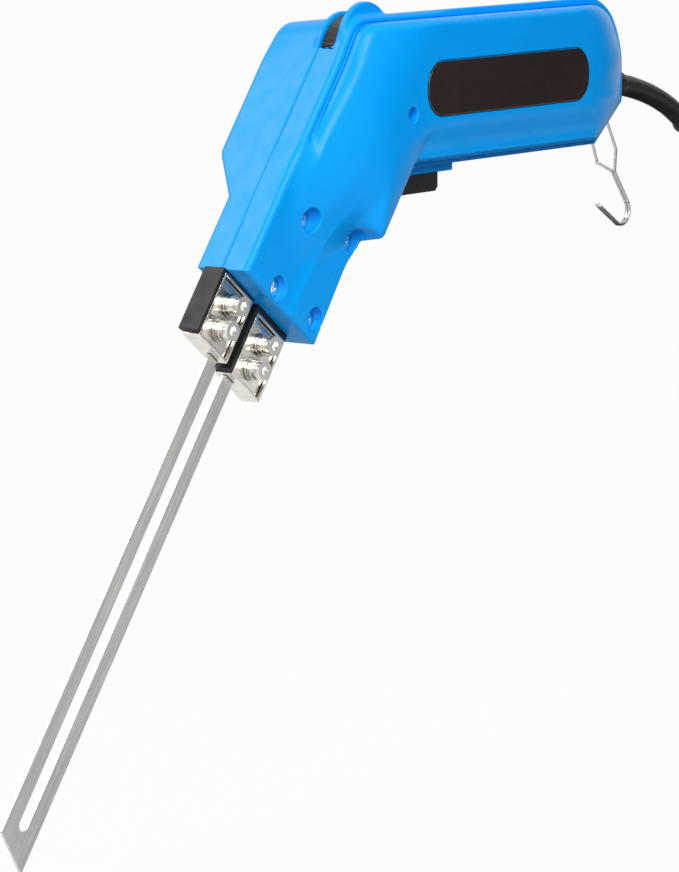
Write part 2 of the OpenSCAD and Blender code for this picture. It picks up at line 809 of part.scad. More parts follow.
// Tubes swept along points: rings of a given radius, joined by triangles
function ring(c, n, b, r, sides) =
    [for (k = [0:sides - 1]) let (a = 360 * k / sides) c + r * (cos(a) * n + sin(a) * b)];
function tube_faces(rings, sides) =
    let (last = (rings - 1) * sides)
    concat(
        [for (k = [1:sides - 2]) [0, k, k + 1]],
        [for (i = [0:rings - 2], k = [0:sides - 1])
            let (a = i * sides + k, b = i * sides + (k + 1) % sides)
            each [[a, a + sides, b + sides], [a, b + sides, b]]],
        [for (k = [1:sides - 2]) [last, last + k + 1, last + k]]
    );
module tube(rings) {
    sides = len(rings[0]);
    polyhedron([for (r = rings) each r], tube_faces(len(rings), sides), convexity = 10);
}
function unit(v) = v / norm(v);
function tangent(pts, i) = unit(pts[min(i + 1, len(pts) - 1)] - pts[max(i - 1, 0)]);
// Rings along a route in a plane whose normal is b
function flat_rings(pts, b, radii, sides) =
    [for (i = [0:len(pts) - 1]) ring(pts[i], cross(b, tangent(pts, i)), b, radii[i], sides)];
function same(r, n) = [for (i = [1:n]) r];

spring_rings = 8;
module trigger_spring() {
    low = trigger_top + trigger_flange + spring_wire + 0.1;
    high = spring_seat - spring_wire - 0.1;
    n = spring_turns * spring_rings;
    color(steel) tube([
        for (i = [0:n])
            let (a = 360 * i / spring_rings, d = [cos(a), sin(a), 0])
            ring([trigger_mid, 0, low + (high - low) * i / n] + spring_r * d, d, [0, 0, -1], spring_wire, 6)
    ]);
}

// Cord clamp: a bar over the inner cord, screwed to two posts of the right shell
clamp_x = 66;
clamp_z = [exit_z - 9.5, exit_z + 9.5];
clamp_seat = cord_d / 2 + 0.1;
clamp_bar_t = 3;
clamp_post_r = 3.2;
module cord_clamp() {
    color(black) difference() {
        grip_box(
            clamp_x - 4, clamp_x + 4, clamp_seat, clamp_seat + clamp_bar_t, clamp_z[0] - 3.5, clamp_z[1] + 3.5
        );
        for (z = clamp_z)
            across([clamp_x, z], shank_r + screw_clear, clamp_seat - 1, clamp_seat + clamp_bar_t + 1);
    }
}
module clamp_bar_screws() {
    color(steel) for (z = clamp_z) {
        across([clamp_x, z], screw_head_r, clamp_seat + clamp_bar_t, clamp_seat + clamp_bar_t + screw_head_h);
        across([clamp_x, z], shank_r, -screw_reach, clamp_seat + clamp_bar_t);
    }
}

// Strain relief: inner flange, neck through the grip's end, collar and a drooping tapered sleeve
inner_wall_x = grip_end(shallow) - wall;
flange_t = 3;
flange_r = 6.4;
// The flange is flat below, where it meets the chamfered wall
flange_flat = exit_z + grip_bottom - wall - chamfer_rise - 0.3;
collar_x = grip_end(0) + 0.2;
collar_t = 4;
collar_r = 5.6;
sleeve_x = collar_x + collar_t;
sleeve_bend = 77;
sleeve_turn = 34;
sleeve_r = [4.9, 4.2];
sleeve_steps = 10;
bead_r = 4.9;
function sleeve_at(a) = [sleeve_x + sleeve_bend * sin(a), 0, exit_z - sleeve_bend * (1 - cos(a))];
sleeve_pts = [for (i = [0:sleeve_steps]) sleeve_at(sleeve_turn * i / sleeve_steps)];
sleeve_radii = [for (i = [0:sleeve_steps]) sleeve_r[0] + (sleeve_r[1] - sleeve_r[0]) * i / sleeve_steps];
sleeve_end = sleeve_at(sleeve_turn);
sleeve_dir = [cos(sleeve_turn), 0, -sin(sleeve_turn)];
module strain_relief() {
    color(black) {
        translate([inner_wall_x - flange_t - 0.1, 0, exit_z]) {
            intersection() {
                rotate([0, 90, 0]) cylinder(r = flange_r, h = flange_t);
                translate([-1, -flange_r - 1, -flange_flat])
                    cube([flange_t + 2, 2 * flange_r + 2, 4 * flange_r]);
            }
            rotate([0, 90, 0]) cylinder(r = neck_r, h = collar_x - inner_wall_x + flange_t + 0.2);
        }
        translate([collar_x, 0, exit_z]) rotate([0, 90, 0]) cylinder(r = collar_r, h = collar_t);
        tube([for (i = [0:sleeve_steps])
            ring(sleeve_pts[i] - (i == 0 ? [0.5, 0, 0] : [0, 0, 0]),
                [sin(sleeve_turn * i / sleeve_steps), 0, cos(sleeve_turn * i / sleeve_steps)], [0, -1, 0],
                sleeve_radii[i], 16)]);
        translate(sleeve_end) rotate([0, 90 + sleeve_turn, 0]) translate([0, 0, -2.6])
            cylinder(r = bead_r, h = 2.6);
    }
}
module inner_cord() {
    color(black) translate([clamp_x - 9, 0, exit_z]) rotate([0, 90, 0])
        cylinder(r = cord_d / 2, h = inner_wall_x - flange_t - 0.1 - clamp_x + 9);
}

// Inner leads: two from the cord's end to the board's terminal block, and two on to the switch
lead_r = 0.9;
module inner_leads() {
    cord_end = clamp_x - 9;
    color("#7a4a2a") for (s = [-1, 1]) {
        low = [cord_end, s * 1.2, exit_z];
        pts = [
            low, low + [-4, 0, 0], [cord_end - 8, 2.2, exit_z + s * 2.2],
            [cord_end - 12, -part_w - 4, s * 4.5], [40.2, -part_w - 4, s * 4.5],
        ];
        tube([for (i = [0:len(pts) - 1])
            let (t = tangent(pts, i), b = unit(cross(t, [0, 1, 0])))
            ring(pts[i], cross(b, t), b, lead_r, 6)]);
    }
}

// Free stretch of cord: leaves the sleeve, turns down under its weight and reaches the coil
lead_route = [
    [150, 0, -26], [156, 0, -31], [161, 0, -37], [166, 0, -44], [170, 0, -52], [173, 0, -60], [175, 0, -69],
    [177, 0, -79], [178, 0, -90],
];
coil_top = -104;
coil_x = 178;
lead_pts = concat(
    [sleeve_end, sleeve_end + cord_d * 0.5 * sleeve_dir], lead_route,
    [[coil_x, 0, coil_top + cord_d], [coil_x, 0, coil_top]]
);
module cord_lead() {
    n = len(lead_pts);
    rings = flat_rings(lead_pts, [0, 1, 0], same(cord_d / 2, n), 8);
    first = ring(lead_pts[0], cross([0, 1, 0], sleeve_dir), [0, 1, 0], cord_d / 2, 8);
    final = ring(lead_pts[n - 1], cross([0, 1, 0], [0, 0, -1]), [0, 1, 0], cord_d / 2, 8);
    color(black) tube([for (i = [0:n - 1]) i == 0 ? first : i == n - 1 ? final : rings[i]]);
}

// Coil: spirals in and out by turns in four layers, climbing a layer where the spiral reverses
coil_layers = 4;
layer_turns = 1.5;
coil_step = cord_d + 0.8;
loop_rings = 24;
coil_outer = coil_r + layer_turns * coil_step / 2;
coil_mid = [coil_x + coil_outer, 0, coil_top - cord_d];
coil_turns = coil_layers * layer_turns;
coil_rings = coil_turns * loop_rings;
function fold(t) = let (m = t % (2 * layer_turns)) m < layer_turns ? m : 2 * layer_turns - m;
function climb(t) = let (k = floor(t / layer_turns + 0.5), s = (t - k * layer_turns) * 2)
    k < 1 || k >= coil_layers ? min(max(k, 0), coil_layers - 1)
    : k - 1 + (1 - cos(180 * min(max(s + 0.5, 0), 1))) / 2;
function coil_at(t) =
    let (a = 180 + 360 * t, r = coil_outer - coil_step * fold(t))
    coil_mid + [r * cos(a), -coil_step * climb(t), r * sin(a)];
coil_pts = concat(
    [[coil_x, 0, coil_top]],
    [for (i = [0:coil_rings]) coil_at(min(i / loop_rings, coil_turns - 0.00001))],
    [coil_at(coil_turns - 0.00001) - [0, 0, cord_d]]
);
tail_y = -coil_step * (coil_layers - 1);
module cord_coil() {
    n = len(coil_pts);
    color(black) tube([
        for (i = [0:n - 1])
            let (a = 180 + 360 * min(max(i - 1, 0), coil_rings) / loop_rings)
            ring(coil_pts[i], [cos(a), 0, sin(a)], [0, 1, 0], cord_d / 2, 6)
    ]);
}
// Least gap between turns of the coil, measured between the points of rings that lie over half a turn apart
coil_gap = min([
    for (i = [1:len(coil_pts) - 2], j = [i + loop_rings / 2:1:len(coil_pts) - 2])
        norm(coil_pts[i] - coil_pts[j])
]) - cord_d;
echo(coil_gap = coil_gap);

// Tie round the bundle at the top of the coil
tie_w = 9;
tie_t = 1.3;
tie_gap = 0.4;
module tie_section(grow) {
    r = coil_step / 2 + cord_d / 2 + tie_gap + grow;
    y = coil_step * (coil_layers - 1) / 2 + cord_d / 2 + tie_gap + grow;
    square([2 * r, 2 * y], center = true);
}
module cord_tie() {
    color("#3a3a3c") translate(coil_mid + [-tie_w / 2, tail_y / 2, coil_r]) rotate([0, 90, 0])
        linear_extrude(tie_w) difference() {
            tie_section(tie_t);
            tie_section(0);
        }
}

// Plug hanging below the coil on the cord's tail
tail_l = 46;
plug_l = 36;
plug_top = coil_mid[2] - cord_d - tail_l;
plug_w = 13;
plug_neck_r = 4.6;
pin_r = 2;
pin_l = 19;
module cord_tail() {
    color(black) translate([coil_x, tail_y, plug_top]) cylinder(r = cord_d / 2, h = tail_l);
}
module plug_body() {
    color(black) translate([coil_x, tail_y, plug_top]) {
        translate([0, 0, -14]) cylinder(r1 = plug_neck_r + 1, r2 = plug_neck_r - 0.6, h = 14.01);
        hull() for (s = [-1, 1]) {
            translate([s * (pin_pitch / 2 - 2), 0, -plug_l]) cylinder(r = plug_w / 2, h = 12, $fn = 32);
            translate([s * 2, 0, -14]) cylinder(r = plug_neck_r, h = 2, $fn = 32);
        }
    }
}
module plug_pins() {
    color(nickel) for (s = [-1, 1]) translate([coil_x + s * pin_pitch / 2, tail_y, plug_top - plug_l - pin_l])
        cylinder(r = pin_r, h = pin_l);
}

// Hanging hook: a doubled wire bail whose ends turn into the lug
hook_lean = 31;
neck_lean = 28;
shank_lean = 38;
hook_neck = 10;
tip_angle = 149;
pair = wire_r + 0.02;
function down(lean) = [sin(lean), -cos(lean)];
knee_xz = hook_xz + hook_leg * down(hook_lean);
joint_xz = knee_xz + hook_neck * down(neck_lean);
shank_xz = joint_xz + hook_shank * down(shank_lean);
bend_xz = shank_xz + hook_bend_r * [-cos(shank_lean), -sin(shank_lean)];
bend_a0 = shank_lean;
bend_a1 = tip_angle + 90 - 360;
bend_end = bend_xz + hook_bend_r * [cos(bend_a1), sin(bend_a1)];
tip_xz = bend_end + hook_tip * [cos(tip_angle), sin(tip_angle)];
function at_w(xz, w) = [xz[0], -w, xz[1]];
// One side of the wire, from its end in the lug to the tip
hook_side = concat(
    [[hook_xz, 0.4], [hook_xz, hook_half - 1], [hook_xz + 0.3 * down(hook_lean), hook_half - 0.3]],
    [[hook_xz + down(hook_lean), hook_half], [knee_xz - 1.5 * down(hook_lean), hook_half]],
    [[knee_xz, hook_half - 0.15], [knee_xz + 1.5 * down(neck_lean), hook_half - 0.6]],
    [[joint_xz - 1.5 * down(neck_lean), pair + 0.6], [joint_xz, pair + 0.15]],
    [[joint_xz + 1.5 * down(shank_lean), pair]],
    [for (p = arc(bend_xz, hook_bend_r, bend_a0, bend_a1, 14)) [p, pair]],
    [[tip_xz, pair]]
);
hook_count = len(hook_side);
hook_tip_dir = [cos(tip_angle), sin(tip_angle)];
hook_pts = concat(
    [for (h = hook_side) at_w(h[0], h[1])],
    [for (a = [45, 90, 135]) at_w(tip_xz + pair * sin(a) * hook_tip_dir, pair * cos(a))],
    [for (i = [hook_count - 1:-1:0]) at_w(hook_side[i][0], -hook_side[i][1])]
);
// Ring directions carried along the wire without twist
function carried(pts, i, n) =
    i == len(pts) ? []
    : let (t = tangent(pts, i), m = unit(n - (n * t) * t)) concat([m], carried(pts, i + 1, m));
module hanging_hook() {
    n = carried(hook_pts, 0, [1, 0, 0]);
    color(steel) tube([
        for (i = [0:len(hook_pts) - 1]) ring(hook_pts[i], n[i], cross(tangent(hook_pts, i), n[i]), wire_r, 8)
    ]);
}

left_shell();
right_shell();
label_plate();
housing_screws();
blade();
front_tray();
rear_tray();
front_insulator();
rear_insulator();
clamp_plates();
clamp_screws();
plain_washers();
spring_washers();
transformer_core();
coil_bobbin();
primary_winding();
secondary_strap();
circuit_board();
triac();
heat_sink();
capacitor();
terminal_block();
potentiometer();
dial_shaft();
dial_wheel();
trigger();
trigger_spring();
switch_body();
switch_plunger();
cord_clamp();
clamp_bar_screws();
inner_cord();
inner_leads();
strain_relief();
cord_lead();
cord_coil();
cord_tie();
cord_tail();
plug_body();
plug_pins();
hanging_hook();
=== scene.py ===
import json
import math

import bpy
import numpy as np
from mathutils import Matrix, Vector


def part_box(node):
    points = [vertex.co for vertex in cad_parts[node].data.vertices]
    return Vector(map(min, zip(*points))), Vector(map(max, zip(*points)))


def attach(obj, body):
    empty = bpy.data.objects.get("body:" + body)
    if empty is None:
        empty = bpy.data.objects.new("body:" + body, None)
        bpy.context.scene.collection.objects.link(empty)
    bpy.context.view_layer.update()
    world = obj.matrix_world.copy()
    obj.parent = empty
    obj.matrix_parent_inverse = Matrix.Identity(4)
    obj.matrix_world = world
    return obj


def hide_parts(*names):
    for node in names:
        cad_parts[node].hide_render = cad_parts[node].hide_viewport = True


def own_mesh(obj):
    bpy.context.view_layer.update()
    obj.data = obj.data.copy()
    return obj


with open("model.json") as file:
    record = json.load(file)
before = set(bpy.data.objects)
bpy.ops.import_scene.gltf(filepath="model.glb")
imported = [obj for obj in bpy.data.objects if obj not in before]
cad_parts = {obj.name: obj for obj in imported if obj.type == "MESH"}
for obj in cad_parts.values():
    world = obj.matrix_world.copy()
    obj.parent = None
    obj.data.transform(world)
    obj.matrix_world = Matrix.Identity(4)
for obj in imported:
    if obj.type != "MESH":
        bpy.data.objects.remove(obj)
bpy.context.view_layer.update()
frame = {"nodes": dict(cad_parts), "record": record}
nodes = frame["nodes"]
joints = {j["name"]: j for j in frame["record"]["behaviour"]["joints"]}
scene = bpy.context.scene
scene.view_settings.view_transform = "Standard"
MM = 0.001

# The head's lean in degrees; its own axes, p up the head and q across it, start at the nose's front corner
HEAD_DEG = 52
HEAD_LEAN = math.radians(HEAD_DEG)
CA, SA = math.cos(HEAD_LEAN), math.sin(HEAD_LEAN)
NOSE_X, NOSE_Z = -150, -52

# Camera solved from the photo: direction and roll in degrees, distance and offset of the nose's corner in mm
VIEW_AZ, VIEW_EL, VIEW_ROLL = -53.86, 8.916, -0.325
VIEW_DISTANCE, NOSE_LEFT, NOSE_ABOVE = 1392.363, 39.48, 57.95
FOCAL_PX, PHOTO_HEIGHT_PX, SENSOR_MM = 4108.9, 872, 24


def place_camera():
    az, el, roll = (math.radians(a) for a in (VIEW_AZ, VIEW_EL, VIEW_ROLL))
    n = Vector((math.sin(az) * math.cos(el), -math.cos(az) * math.cos(el), math.sin(el)))
    right = (-n).cross(Vector((0, 0, 1))).normalized()
    up = right.cross(-n)
    r = math.cos(roll) * right + math.sin(roll) * up
    u = math.cos(roll) * up - math.sin(roll) * right
    centre = Vector((NOSE_X, 0, NOSE_Z)) + n * VIEW_DISTANCE + NOSE_LEFT * r - NOSE_ABOVE * u
    data = bpy.data.cameras.new("camera")
    data.sensor_fit = "VERTICAL"
    data.sensor_height = SENSOR_MM
    data.lens = SENSOR_MM * FOCAL_PX / PHOTO_HEIGHT_PX
    data.clip_end = 50
    cam = bpy.data.objects.new("camera", data)
    m = Matrix((r, u, n)).transposed().to_4x4()
    m.translation = centre * MM
    cam.matrix_world = m
    scene.collection.objects.link(cam)
    scene.camera = cam


place_camera()


# Materials: plain values on the shader's sockets, with procedural tone, grain and relief
class Shader:
    def __init__(self, name):
        self.mat = bpy.data.materials.new(name)
        self.mat.use_nodes = True
        self.tree = self.mat.node_tree
        self.bsdf = self.tree.nodes["Principled BSDF"]
        self.height = None

    def new(self, kind, **values):
        node = self.tree.nodes.new(kind)
        for key, value in values.items():
            if key in node.inputs:
                node.inputs[key].default_value = value
            else:
                setattr(node, key.lower(), value)
        return node

    def link(self, a, b):
        self.tree.links.new(a, b)

    def coords(self, scale, turn):
        at = self.new("ShaderNodeTexCoord").outputs["Object"]
        for key, value in (("Rotation", turn), ("Scale", scale)):
            place = self.new("ShaderNodeMapping", **{key: value})
            self.link(at, place.inputs["Vector"])
            at = place.outputs["Vector"]
        return at

    def noise(self, size_mm, detail, stretch=(1, 1, 1), turn=(0, 0, 0)):
        node = self.new("ShaderNodeTexNoise", Scale=1 / (size_mm * MM), Detail=detail)
        self.link(self.coords(stretch, turn), node.inputs["Vector"])
        return node.outputs["Fac"]

    def ramp(self, source, low, high, at=(0.3, 0.7)):
        limits = {"From Min": at[0], "From Max": at[1], "To Min": low, "To Max": high}
        node = self.new("ShaderNodeMapRange", **limits)
        self.link(source, node.inputs["Value"])
        return node.outputs["Result"]

    # Each of the two colours is a triple or another node's output
    def mix(self, source, a, b):
        node = self.new("ShaderNodeMix", data_type="RGBA")
        for key, colour in (("A", a), ("B", b)):
            if isinstance(colour, tuple):
                node.inputs[key].default_value = (*colour, 1)
            else:
                self.link(colour, node.inputs[key])
        self.link(source, node.inputs["Factor"])
        return node.outputs["Result"]

    # Painted shade: darkens a colour in hollows and along the pieces that stand close, by the ambient
    # occlusion there
    def painted_shade(self, colour, dark, reach_mm):
        near = self.new("ShaderNodeAmbientOcclusion", Distance=reach_mm * MM, Samples=12)
        return self.mix(self.ramp(near.outputs["AO"], 0, 1, (0.15, 0.7)), dark, colour)

    def bump(self, source, depth_mm):
        node = self.new("ShaderNodeBump", Strength=1.0, Distance=depth_mm * MM)
        self.link(source, node.inputs["Height"])
        if self.height is not None:
            self.link(self.height, node.inputs["Normal"])
        self.height = node.outputs["Normal"]
        self.link(self.height, self.bsdf.inputs["Normal"])


# Sizes in mm of the tone's and the gloss's patches and of the waves, and the reach of the painted shade in
# hollows
TONE_MM, GLOSS_MM, WAVE_MM, SHADE_REACH_MM = 38, 6, 9, 6


def plastic(name, colour, dark, rough, grain_mm=0.35, relief=0.008, spec=0.5):
    s = Shader(name)
    s.link(s.mix(s.ramp(s.noise(TONE_MM, 4), 0, 1), colour, dark), s.bsdf.inputs["Base Color"])
    gloss = s.ramp(s.noise(GLOSS_MM, 4), rough - 0.05, rough + 0.06)
    s.link(gloss, s.bsdf.inputs["Roughness"])
    s.bsdf.inputs["Specular IOR Level"].default_value = spec
    s.bump(s.noise(grain_mm, 2), relief)
    return s.mat


def metal(name, colour, dark, rough, grain_mm=0.6, relief=0.004, stretch=(1, 1, 1), turn=(0, 0, 0), wave=0.0,
          hollow=None):
    s = Shader(name)
    s.bsdf.inputs["Metallic"].default_value = 1.0
    streak = s.noise(grain_mm, 4, stretch, turn)
    tone = s.mix(s.ramp(streak, 0, 1), dark, colour)
    # Painted shade: hollow is the dark colour painted into hollows and next to pieces that stand close
    if hollow:
        tone = s.painted_shade(tone, hollow, SHADE_REACH_MM)
    s.link(tone, s.bsdf.inputs["Base Color"])
    gloss = s.ramp(s.noise(grain_mm * 3, 3, stretch, turn), rough - 0.06, rough + 0.08)
    s.link(gloss, s.bsdf.inputs["Roughness"])
    s.bump(streak, relief)
    if wave:
        s.bump(s.noise(WAVE_MM, 2), wave)
    return s.mat


MATS = {
    "shell": plastic("blue_plastic", (0.0, 0.35, 0.92), (0.0, 0.33, 0.89), 0.32,
                     grain_mm=0.5, relief=0.004, spec=0.2),
    "label": plastic("label_black", (0.03, 0.019, 0.018), (0.024, 0.016, 0.015), 0.2,
                     grain_mm=2.5, relief=0.001),
    "screw": metal("zinc", (0.9, 0.89, 0.87), (0.78, 0.77, 0.75), 0.3, grain_mm=1.2),
    "blade": metal("blade_steel", (0.84, 0.83, 0.81), (0.56, 0.55, 0.535), 0.36,
                   grain_mm=0.35, relief=0.006, stretch=(0.02, 1, 1), turn=(0, HEAD_LEAN, 0)),
    # The nickel gets painted shade: a dark brown in its hollows and next to pieces that stand close
    "nickel": metal("nickel", (0.80, 0.775, 0.72), (0.70, 0.675, 0.62), 0.15,
                    grain_mm=2.0, relief=0.002, wave=0.03, hollow=(0.17, 0.15, 0.12)),
    "insulator": plastic("insulator_black", (0.006, 0.0057, 0.0055), (0.010, 0.0097, 0.0095), 0.45,
                         grain_mm=0.6, relief=0.015, spec=0.3),
    "core": metal("laminations", (0.16, 0.16, 0.17), (0.1, 0.1, 0.11), 0.5, grain_mm=0.8),
    "bobbin": plastic("bobbin_nylon", (0.62, 0.57, 0.45), (0.55, 0.5, 0.4), 0.45),
    "copper": metal("copper", (0.82, 0.42, 0.24), (0.7, 0.33, 0.18), 0.3),
    "board": plastic("board_green", (0.04, 0.24, 0.10), (0.03, 0.2, 0.08), 0.4),
    "sink": metal("sink_alloy", (0.7, 0.71, 0.72), (0.6, 0.61, 0.62), 0.35),
    "yellow": plastic("capacitor_yellow", (0.7, 0.47, 0.1), (0.62, 0.4, 0.08), 0.3),
    "pot": metal("pot_can", (0.5, 0.5, 0.52), (0.42, 0.42, 0.44), 0.35),
    "control": plastic("control_black", (0.006, 0.0055, 0.005), (0.011, 0.01, 0.0095), 0.48, relief=0.02),
    "white": plastic("acetal", (0.78, 0.76, 0.7), (0.72, 0.7, 0.65), 0.4),
    "green": plastic("terminal_green", (0.08, 0.32, 0.17), (0.06, 0.27, 0.14), 0.4),
    "rubber": plastic("cord_black", (0.008, 0.008, 0.008), (0.013, 0.013, 0.013), 0.46,
                      grain_mm=0.5, relief=0.02, spec=0.4),
    "lead": plastic("lead_brown", (0.28, 0.12, 0.05), (0.22, 0.09, 0.04), 0.5),
    "wire": metal("wire_zinc", (0.58, 0.58, 0.57), (0.42, 0.42, 0.41), 0.16, grain_mm=1.0),
}


# Places in mm: x back along the grip, w to the left of the parting plane, z up
def head_xz(p, q):
    return (NOSE_X + CA * p - SA * q, NOSE_Z + SA * p + CA * q)


def head_place(x, z):
    dx, dz = x - NOSE_X, z - NOSE_Z
    return CA * dx + SA * dz, CA * dz - SA * dx


def head_p(q, z):
    return (z - NOSE_Z - CA * q) / SA


def heading(degrees):
    return np.array([math.cos(math.radians(degrees)), math.sin(math.radians(degrees))])


def arc(centre, r, start, end, n):
    return [tuple(centre + r * heading(start + (end - start) * i / n)) for i in range(n + 1)]


def joint_xz(name):
    x, _, z = joints[name]["pos_m"]
    return (x / MM, z / MM)


# Side views of the housing: head with a bent front edge, grip with a round, chamfered end, panel in the rim
HEAD_DEPTH, FRONT_R = 49, 12
NOSE_END, HEAD_BACK = -1.8, -45
GRIP_TOP, GRIP_BOTTOM = 28, -26
GRIP_FRONT, GRIP_BACK = -78, 94.2
END_R, CHAMFER_X, CHAMFER_Z = 25, 19, 15
GRIP_HALF, NOSE_HALF = 23, 11
RIM, WALL = 3, 3
REAR_EDGE = [(41, -HEAD_DEPTH), (38, -48.4), (35.5, -47.4), (33, -46.7), (30, -46.35), (27, -46.3),
             (NOSE_END, -47.3)]

bend_centre = head_xz(head_p(-FRONT_R, GRIP_TOP - FRONT_R), -FRONT_R)
rear_corner = head_xz(head_p(-HEAD_DEPTH, GRIP_BOTTOM), -HEAD_DEPTH)


def front_edge(p, inset):
    bend = arc(bend_centre, FRONT_R - inset, 90 + HEAD_DEG, 90, 10)
    return [head_xz(p, -inset), *bend, (HEAD_BACK, GRIP_TOP - inset), rear_corner]


HEAD_SIDE = front_edge(NOSE_END, 0) + [head_xz(p, q) for p, q in REAR_EDGE]
PANEL_SIDE = front_edge(0, RIM) + [head_xz(0, -HEAD_DEPTH)]
GRIP_SIDE = [(GRIP_FRONT, GRIP_BOTTOM), (GRIP_FRONT, GRIP_TOP),
             *arc((GRIP_BACK - END_R, GRIP_TOP - END_R), END_R, 90, 0, 16),
             (GRIP_BACK, GRIP_BOTTOM + CHAMFER_Z), (GRIP_BACK - CHAMFER_X, GRIP_BOTTOM)]

# Openings and fittings of the housing; boxes are from x to x and from z to z
CUT_BLEND, FINE_BLEND = 0.4, 0.3
DIAL, HOOK = joint_xz("dial_turn"), joint_xz("hook_swing")
DIAL_SPACE_R, DIAL_SPACE_W = 16.6, 6.4
GUARD = (-78.3, 19)
GUARD_R, GUARD_CORE_R = 15, 13.5
GUARD_MID, GUARD_HALF = 7.65, 1.25
GUARD_EDGE, GUARD_BLEND = 0.7, 1.2
CHEEK_R, CHEEK_CORE_R = 16.8, 13.3
CHEEK_MID, CHEEK_HALF, CHEEK_CORE_HALF = -0.5, 1.5, 1
CHEEK_EDGE, CHEEK_BLEND = 0.6, 0.8
SHAFT_HOLE_R, SHAFT_HOLE_HALF = 3.4, 4
TRIGGER_HOLE, TRIGGER_HOLE_HALF = (-57.4, -30.6, -31, -22), 6.4
TRIGGER_LIP, TRIGGER_LIP_HALF, TRIGGER_LIP_EDGE = (-59.4, -24.6, -29, -20), 8.4, 0.8
CORD_Z, CORD_HOLE_R, CORD_HOLE_X = -5.5, 4.85, 40
HOOK_LEG_W, HOOK_SLOT_R, HOOK_SLOT_HALF = 4.3, 8.5, 0.9
LABEL_X, LABEL_Z = -9, 2.6
LABEL_HALF_X, LABEL_HALF_Z, LABEL_R = 52, 9.75, 8.8
LABEL_HALF_W, LABEL_EDGE = 0.4, 0.25
LABEL_SEAT_W, LABEL_PLAY = 22.6, 0.15
WELL_R, WELL_FLOOR_W, WELL_BLEND = 4.1, 5.4, 0.6
WELL_WALL, WELL_SKIN, SCREW_HOLE_R = 1.6, 0.5, 1.7
HEAD_WELLS = [(3.4, -18.816), (5.5, -42.385), (30.8, -18.179), (38.9, -43.806)]
WELLS = [(*head_xz(p, q), WELL_R) for p, q in HEAD_WELLS] + [(-70, -5.6, 2.6)]


# Signed distance of a side view
def polygon_distance(x, z, pts):
    best = np.full(x.shape, 1e9)
    inside = np.zeros(x.shape, bool)
    for (ax, az), (bx, bz) in zip(pts, pts[1:] + pts[:1]):
        ex, ez = bx - ax, bz - az
        px, pz = x - ax, z - az
        t = np.clip((px * ex + pz * ez) / (ex * ex + ez * ez), 0, 1)
        dx, dz = px - t * ex, pz - t * ez
        best = np.minimum(best, dx * dx + dz * dz)
        if ez != 0:
            crosses = (az > z) != (bz > z)
            inside ^= crosses & (x < ex * (z - az) / ez + ax)
    return np.where(inside, -1.0, 1.0) * np.sqrt(best)


def box_distance(x, z, x0, x1, z0, z1):
    return np.maximum(np.abs(x - (x0 + x1) / 2) - (x1 - x0) / 2, np.abs(z - (z0 + z1) / 2) - (z1 - z0) / 2)


# Common part and union of two forms with a blend of width k
def soft_max(a, b, k):
    h = np.clip(0.5 - 0.5 * (b - a) / k, 0, 1)
    return b + (a - b) * h + k * h * (1 - h)


def soft_min(a, b, k):
    return -soft_max(-a, -b, k)


# Common part of two forms with an edge of radius r
def rounded(a, b, r):
    qa, qb = a + r, b + r
    return np.minimum(np.maximum(qa, qb), 0) + np.hypot(np.maximum(qa, 0), np.maximum(qb, 0)) - r


# From 0 at the start to 1 at the end, straight or with soft ends
def share(value, start, end):
    return np.clip((value - start) / (end - start), 0, 1)


def ease(value, start, end):
    t = share(value, start, end)
    return t * t * (3 - 2 * t)


# The grip's end is domed in the plan, and the top falls a little to the right
DOME_R, DOME_START = 40, 56.8
TOP_SLOPE, TOP_DROP, TOP_Z = 0.1, 1.45, (12, 24)
SHARP_BLEND, CORNER_BLEND, CORNER_Z = 0.02, 3, (4, -8)


def grip_end(w):
    t = np.clip((GRIP_HALF - np.abs(w)) / DOME_R, 0, 1)
    return DOME_START + DOME_R * np.sqrt(1 - (1 - t) ** 2)


def level(w, z):
    return z + (TOP_SLOPE * (NOSE_HALF - w) - TOP_DROP) * ease(z, *TOP_Z)


def side_distance(x, w, z):
    z = level(w, z)
    head = polygon_distance(x, z, HEAD_SIDE)
    grip = polygon_distance(x + GRIP_BACK - grip_end(w), z, GRIP_SIDE)
    return head, np.maximum(grip, GRIP_FRONT - x)


# Head and grip meet sharply at the top and in a soft corner in front of the trigger
def join(head, grip, z):
    return soft_min(head, grip, SHARP_BLEND + CORNER_BLEND * ease(z, *CORNER_Z))


# Hollows: wall, start along p and half width of each, and the room in the nose for trays and insulators
SHALLOW, DEEP_RIGHT = (WALL, 50, 8.5), (WALL, 50, 20)
DEEP_LEFT, DEEP_LEFT_Q = (8, 70, 19.5), -24
NOSE_ROOM_Q, NOSE_ROOM_HALF_Q = -23.15, 19.9
NOSE_ROOM_P, NOSE_ROOM_HALF = (3, 52), 8


def inner_space(x, w, z, head, grip, left):
    p, q = head_place(x, z)
    a = np.abs(w)

    def hollow(wall, start, half):
        return np.maximum(np.minimum(np.maximum(head + wall, start - p), grip + wall), a - half)

    deep = np.maximum(hollow(*DEEP_LEFT), q - DEEP_LEFT_Q) if left else hollow(*DEEP_RIGHT)
    nose = np.maximum(np.abs(q - NOSE_ROOM_Q) - NOSE_ROOM_HALF_Q, a - NOSE_ROOM_HALF)
    nose = np.maximum(nose, np.maximum(p - NOSE_ROOM_P[1], NOSE_ROOM_P[0] - p))
    return np.minimum(np.minimum(hollow(*SHALLOW), deep), nose)


def trigger_lip(x, w, z):
    return rounded(box_distance(x, z, *TRIGGER_LIP), np.abs(w) - TRIGGER_LIP_HALF, TRIGGER_LIP_EDGE)


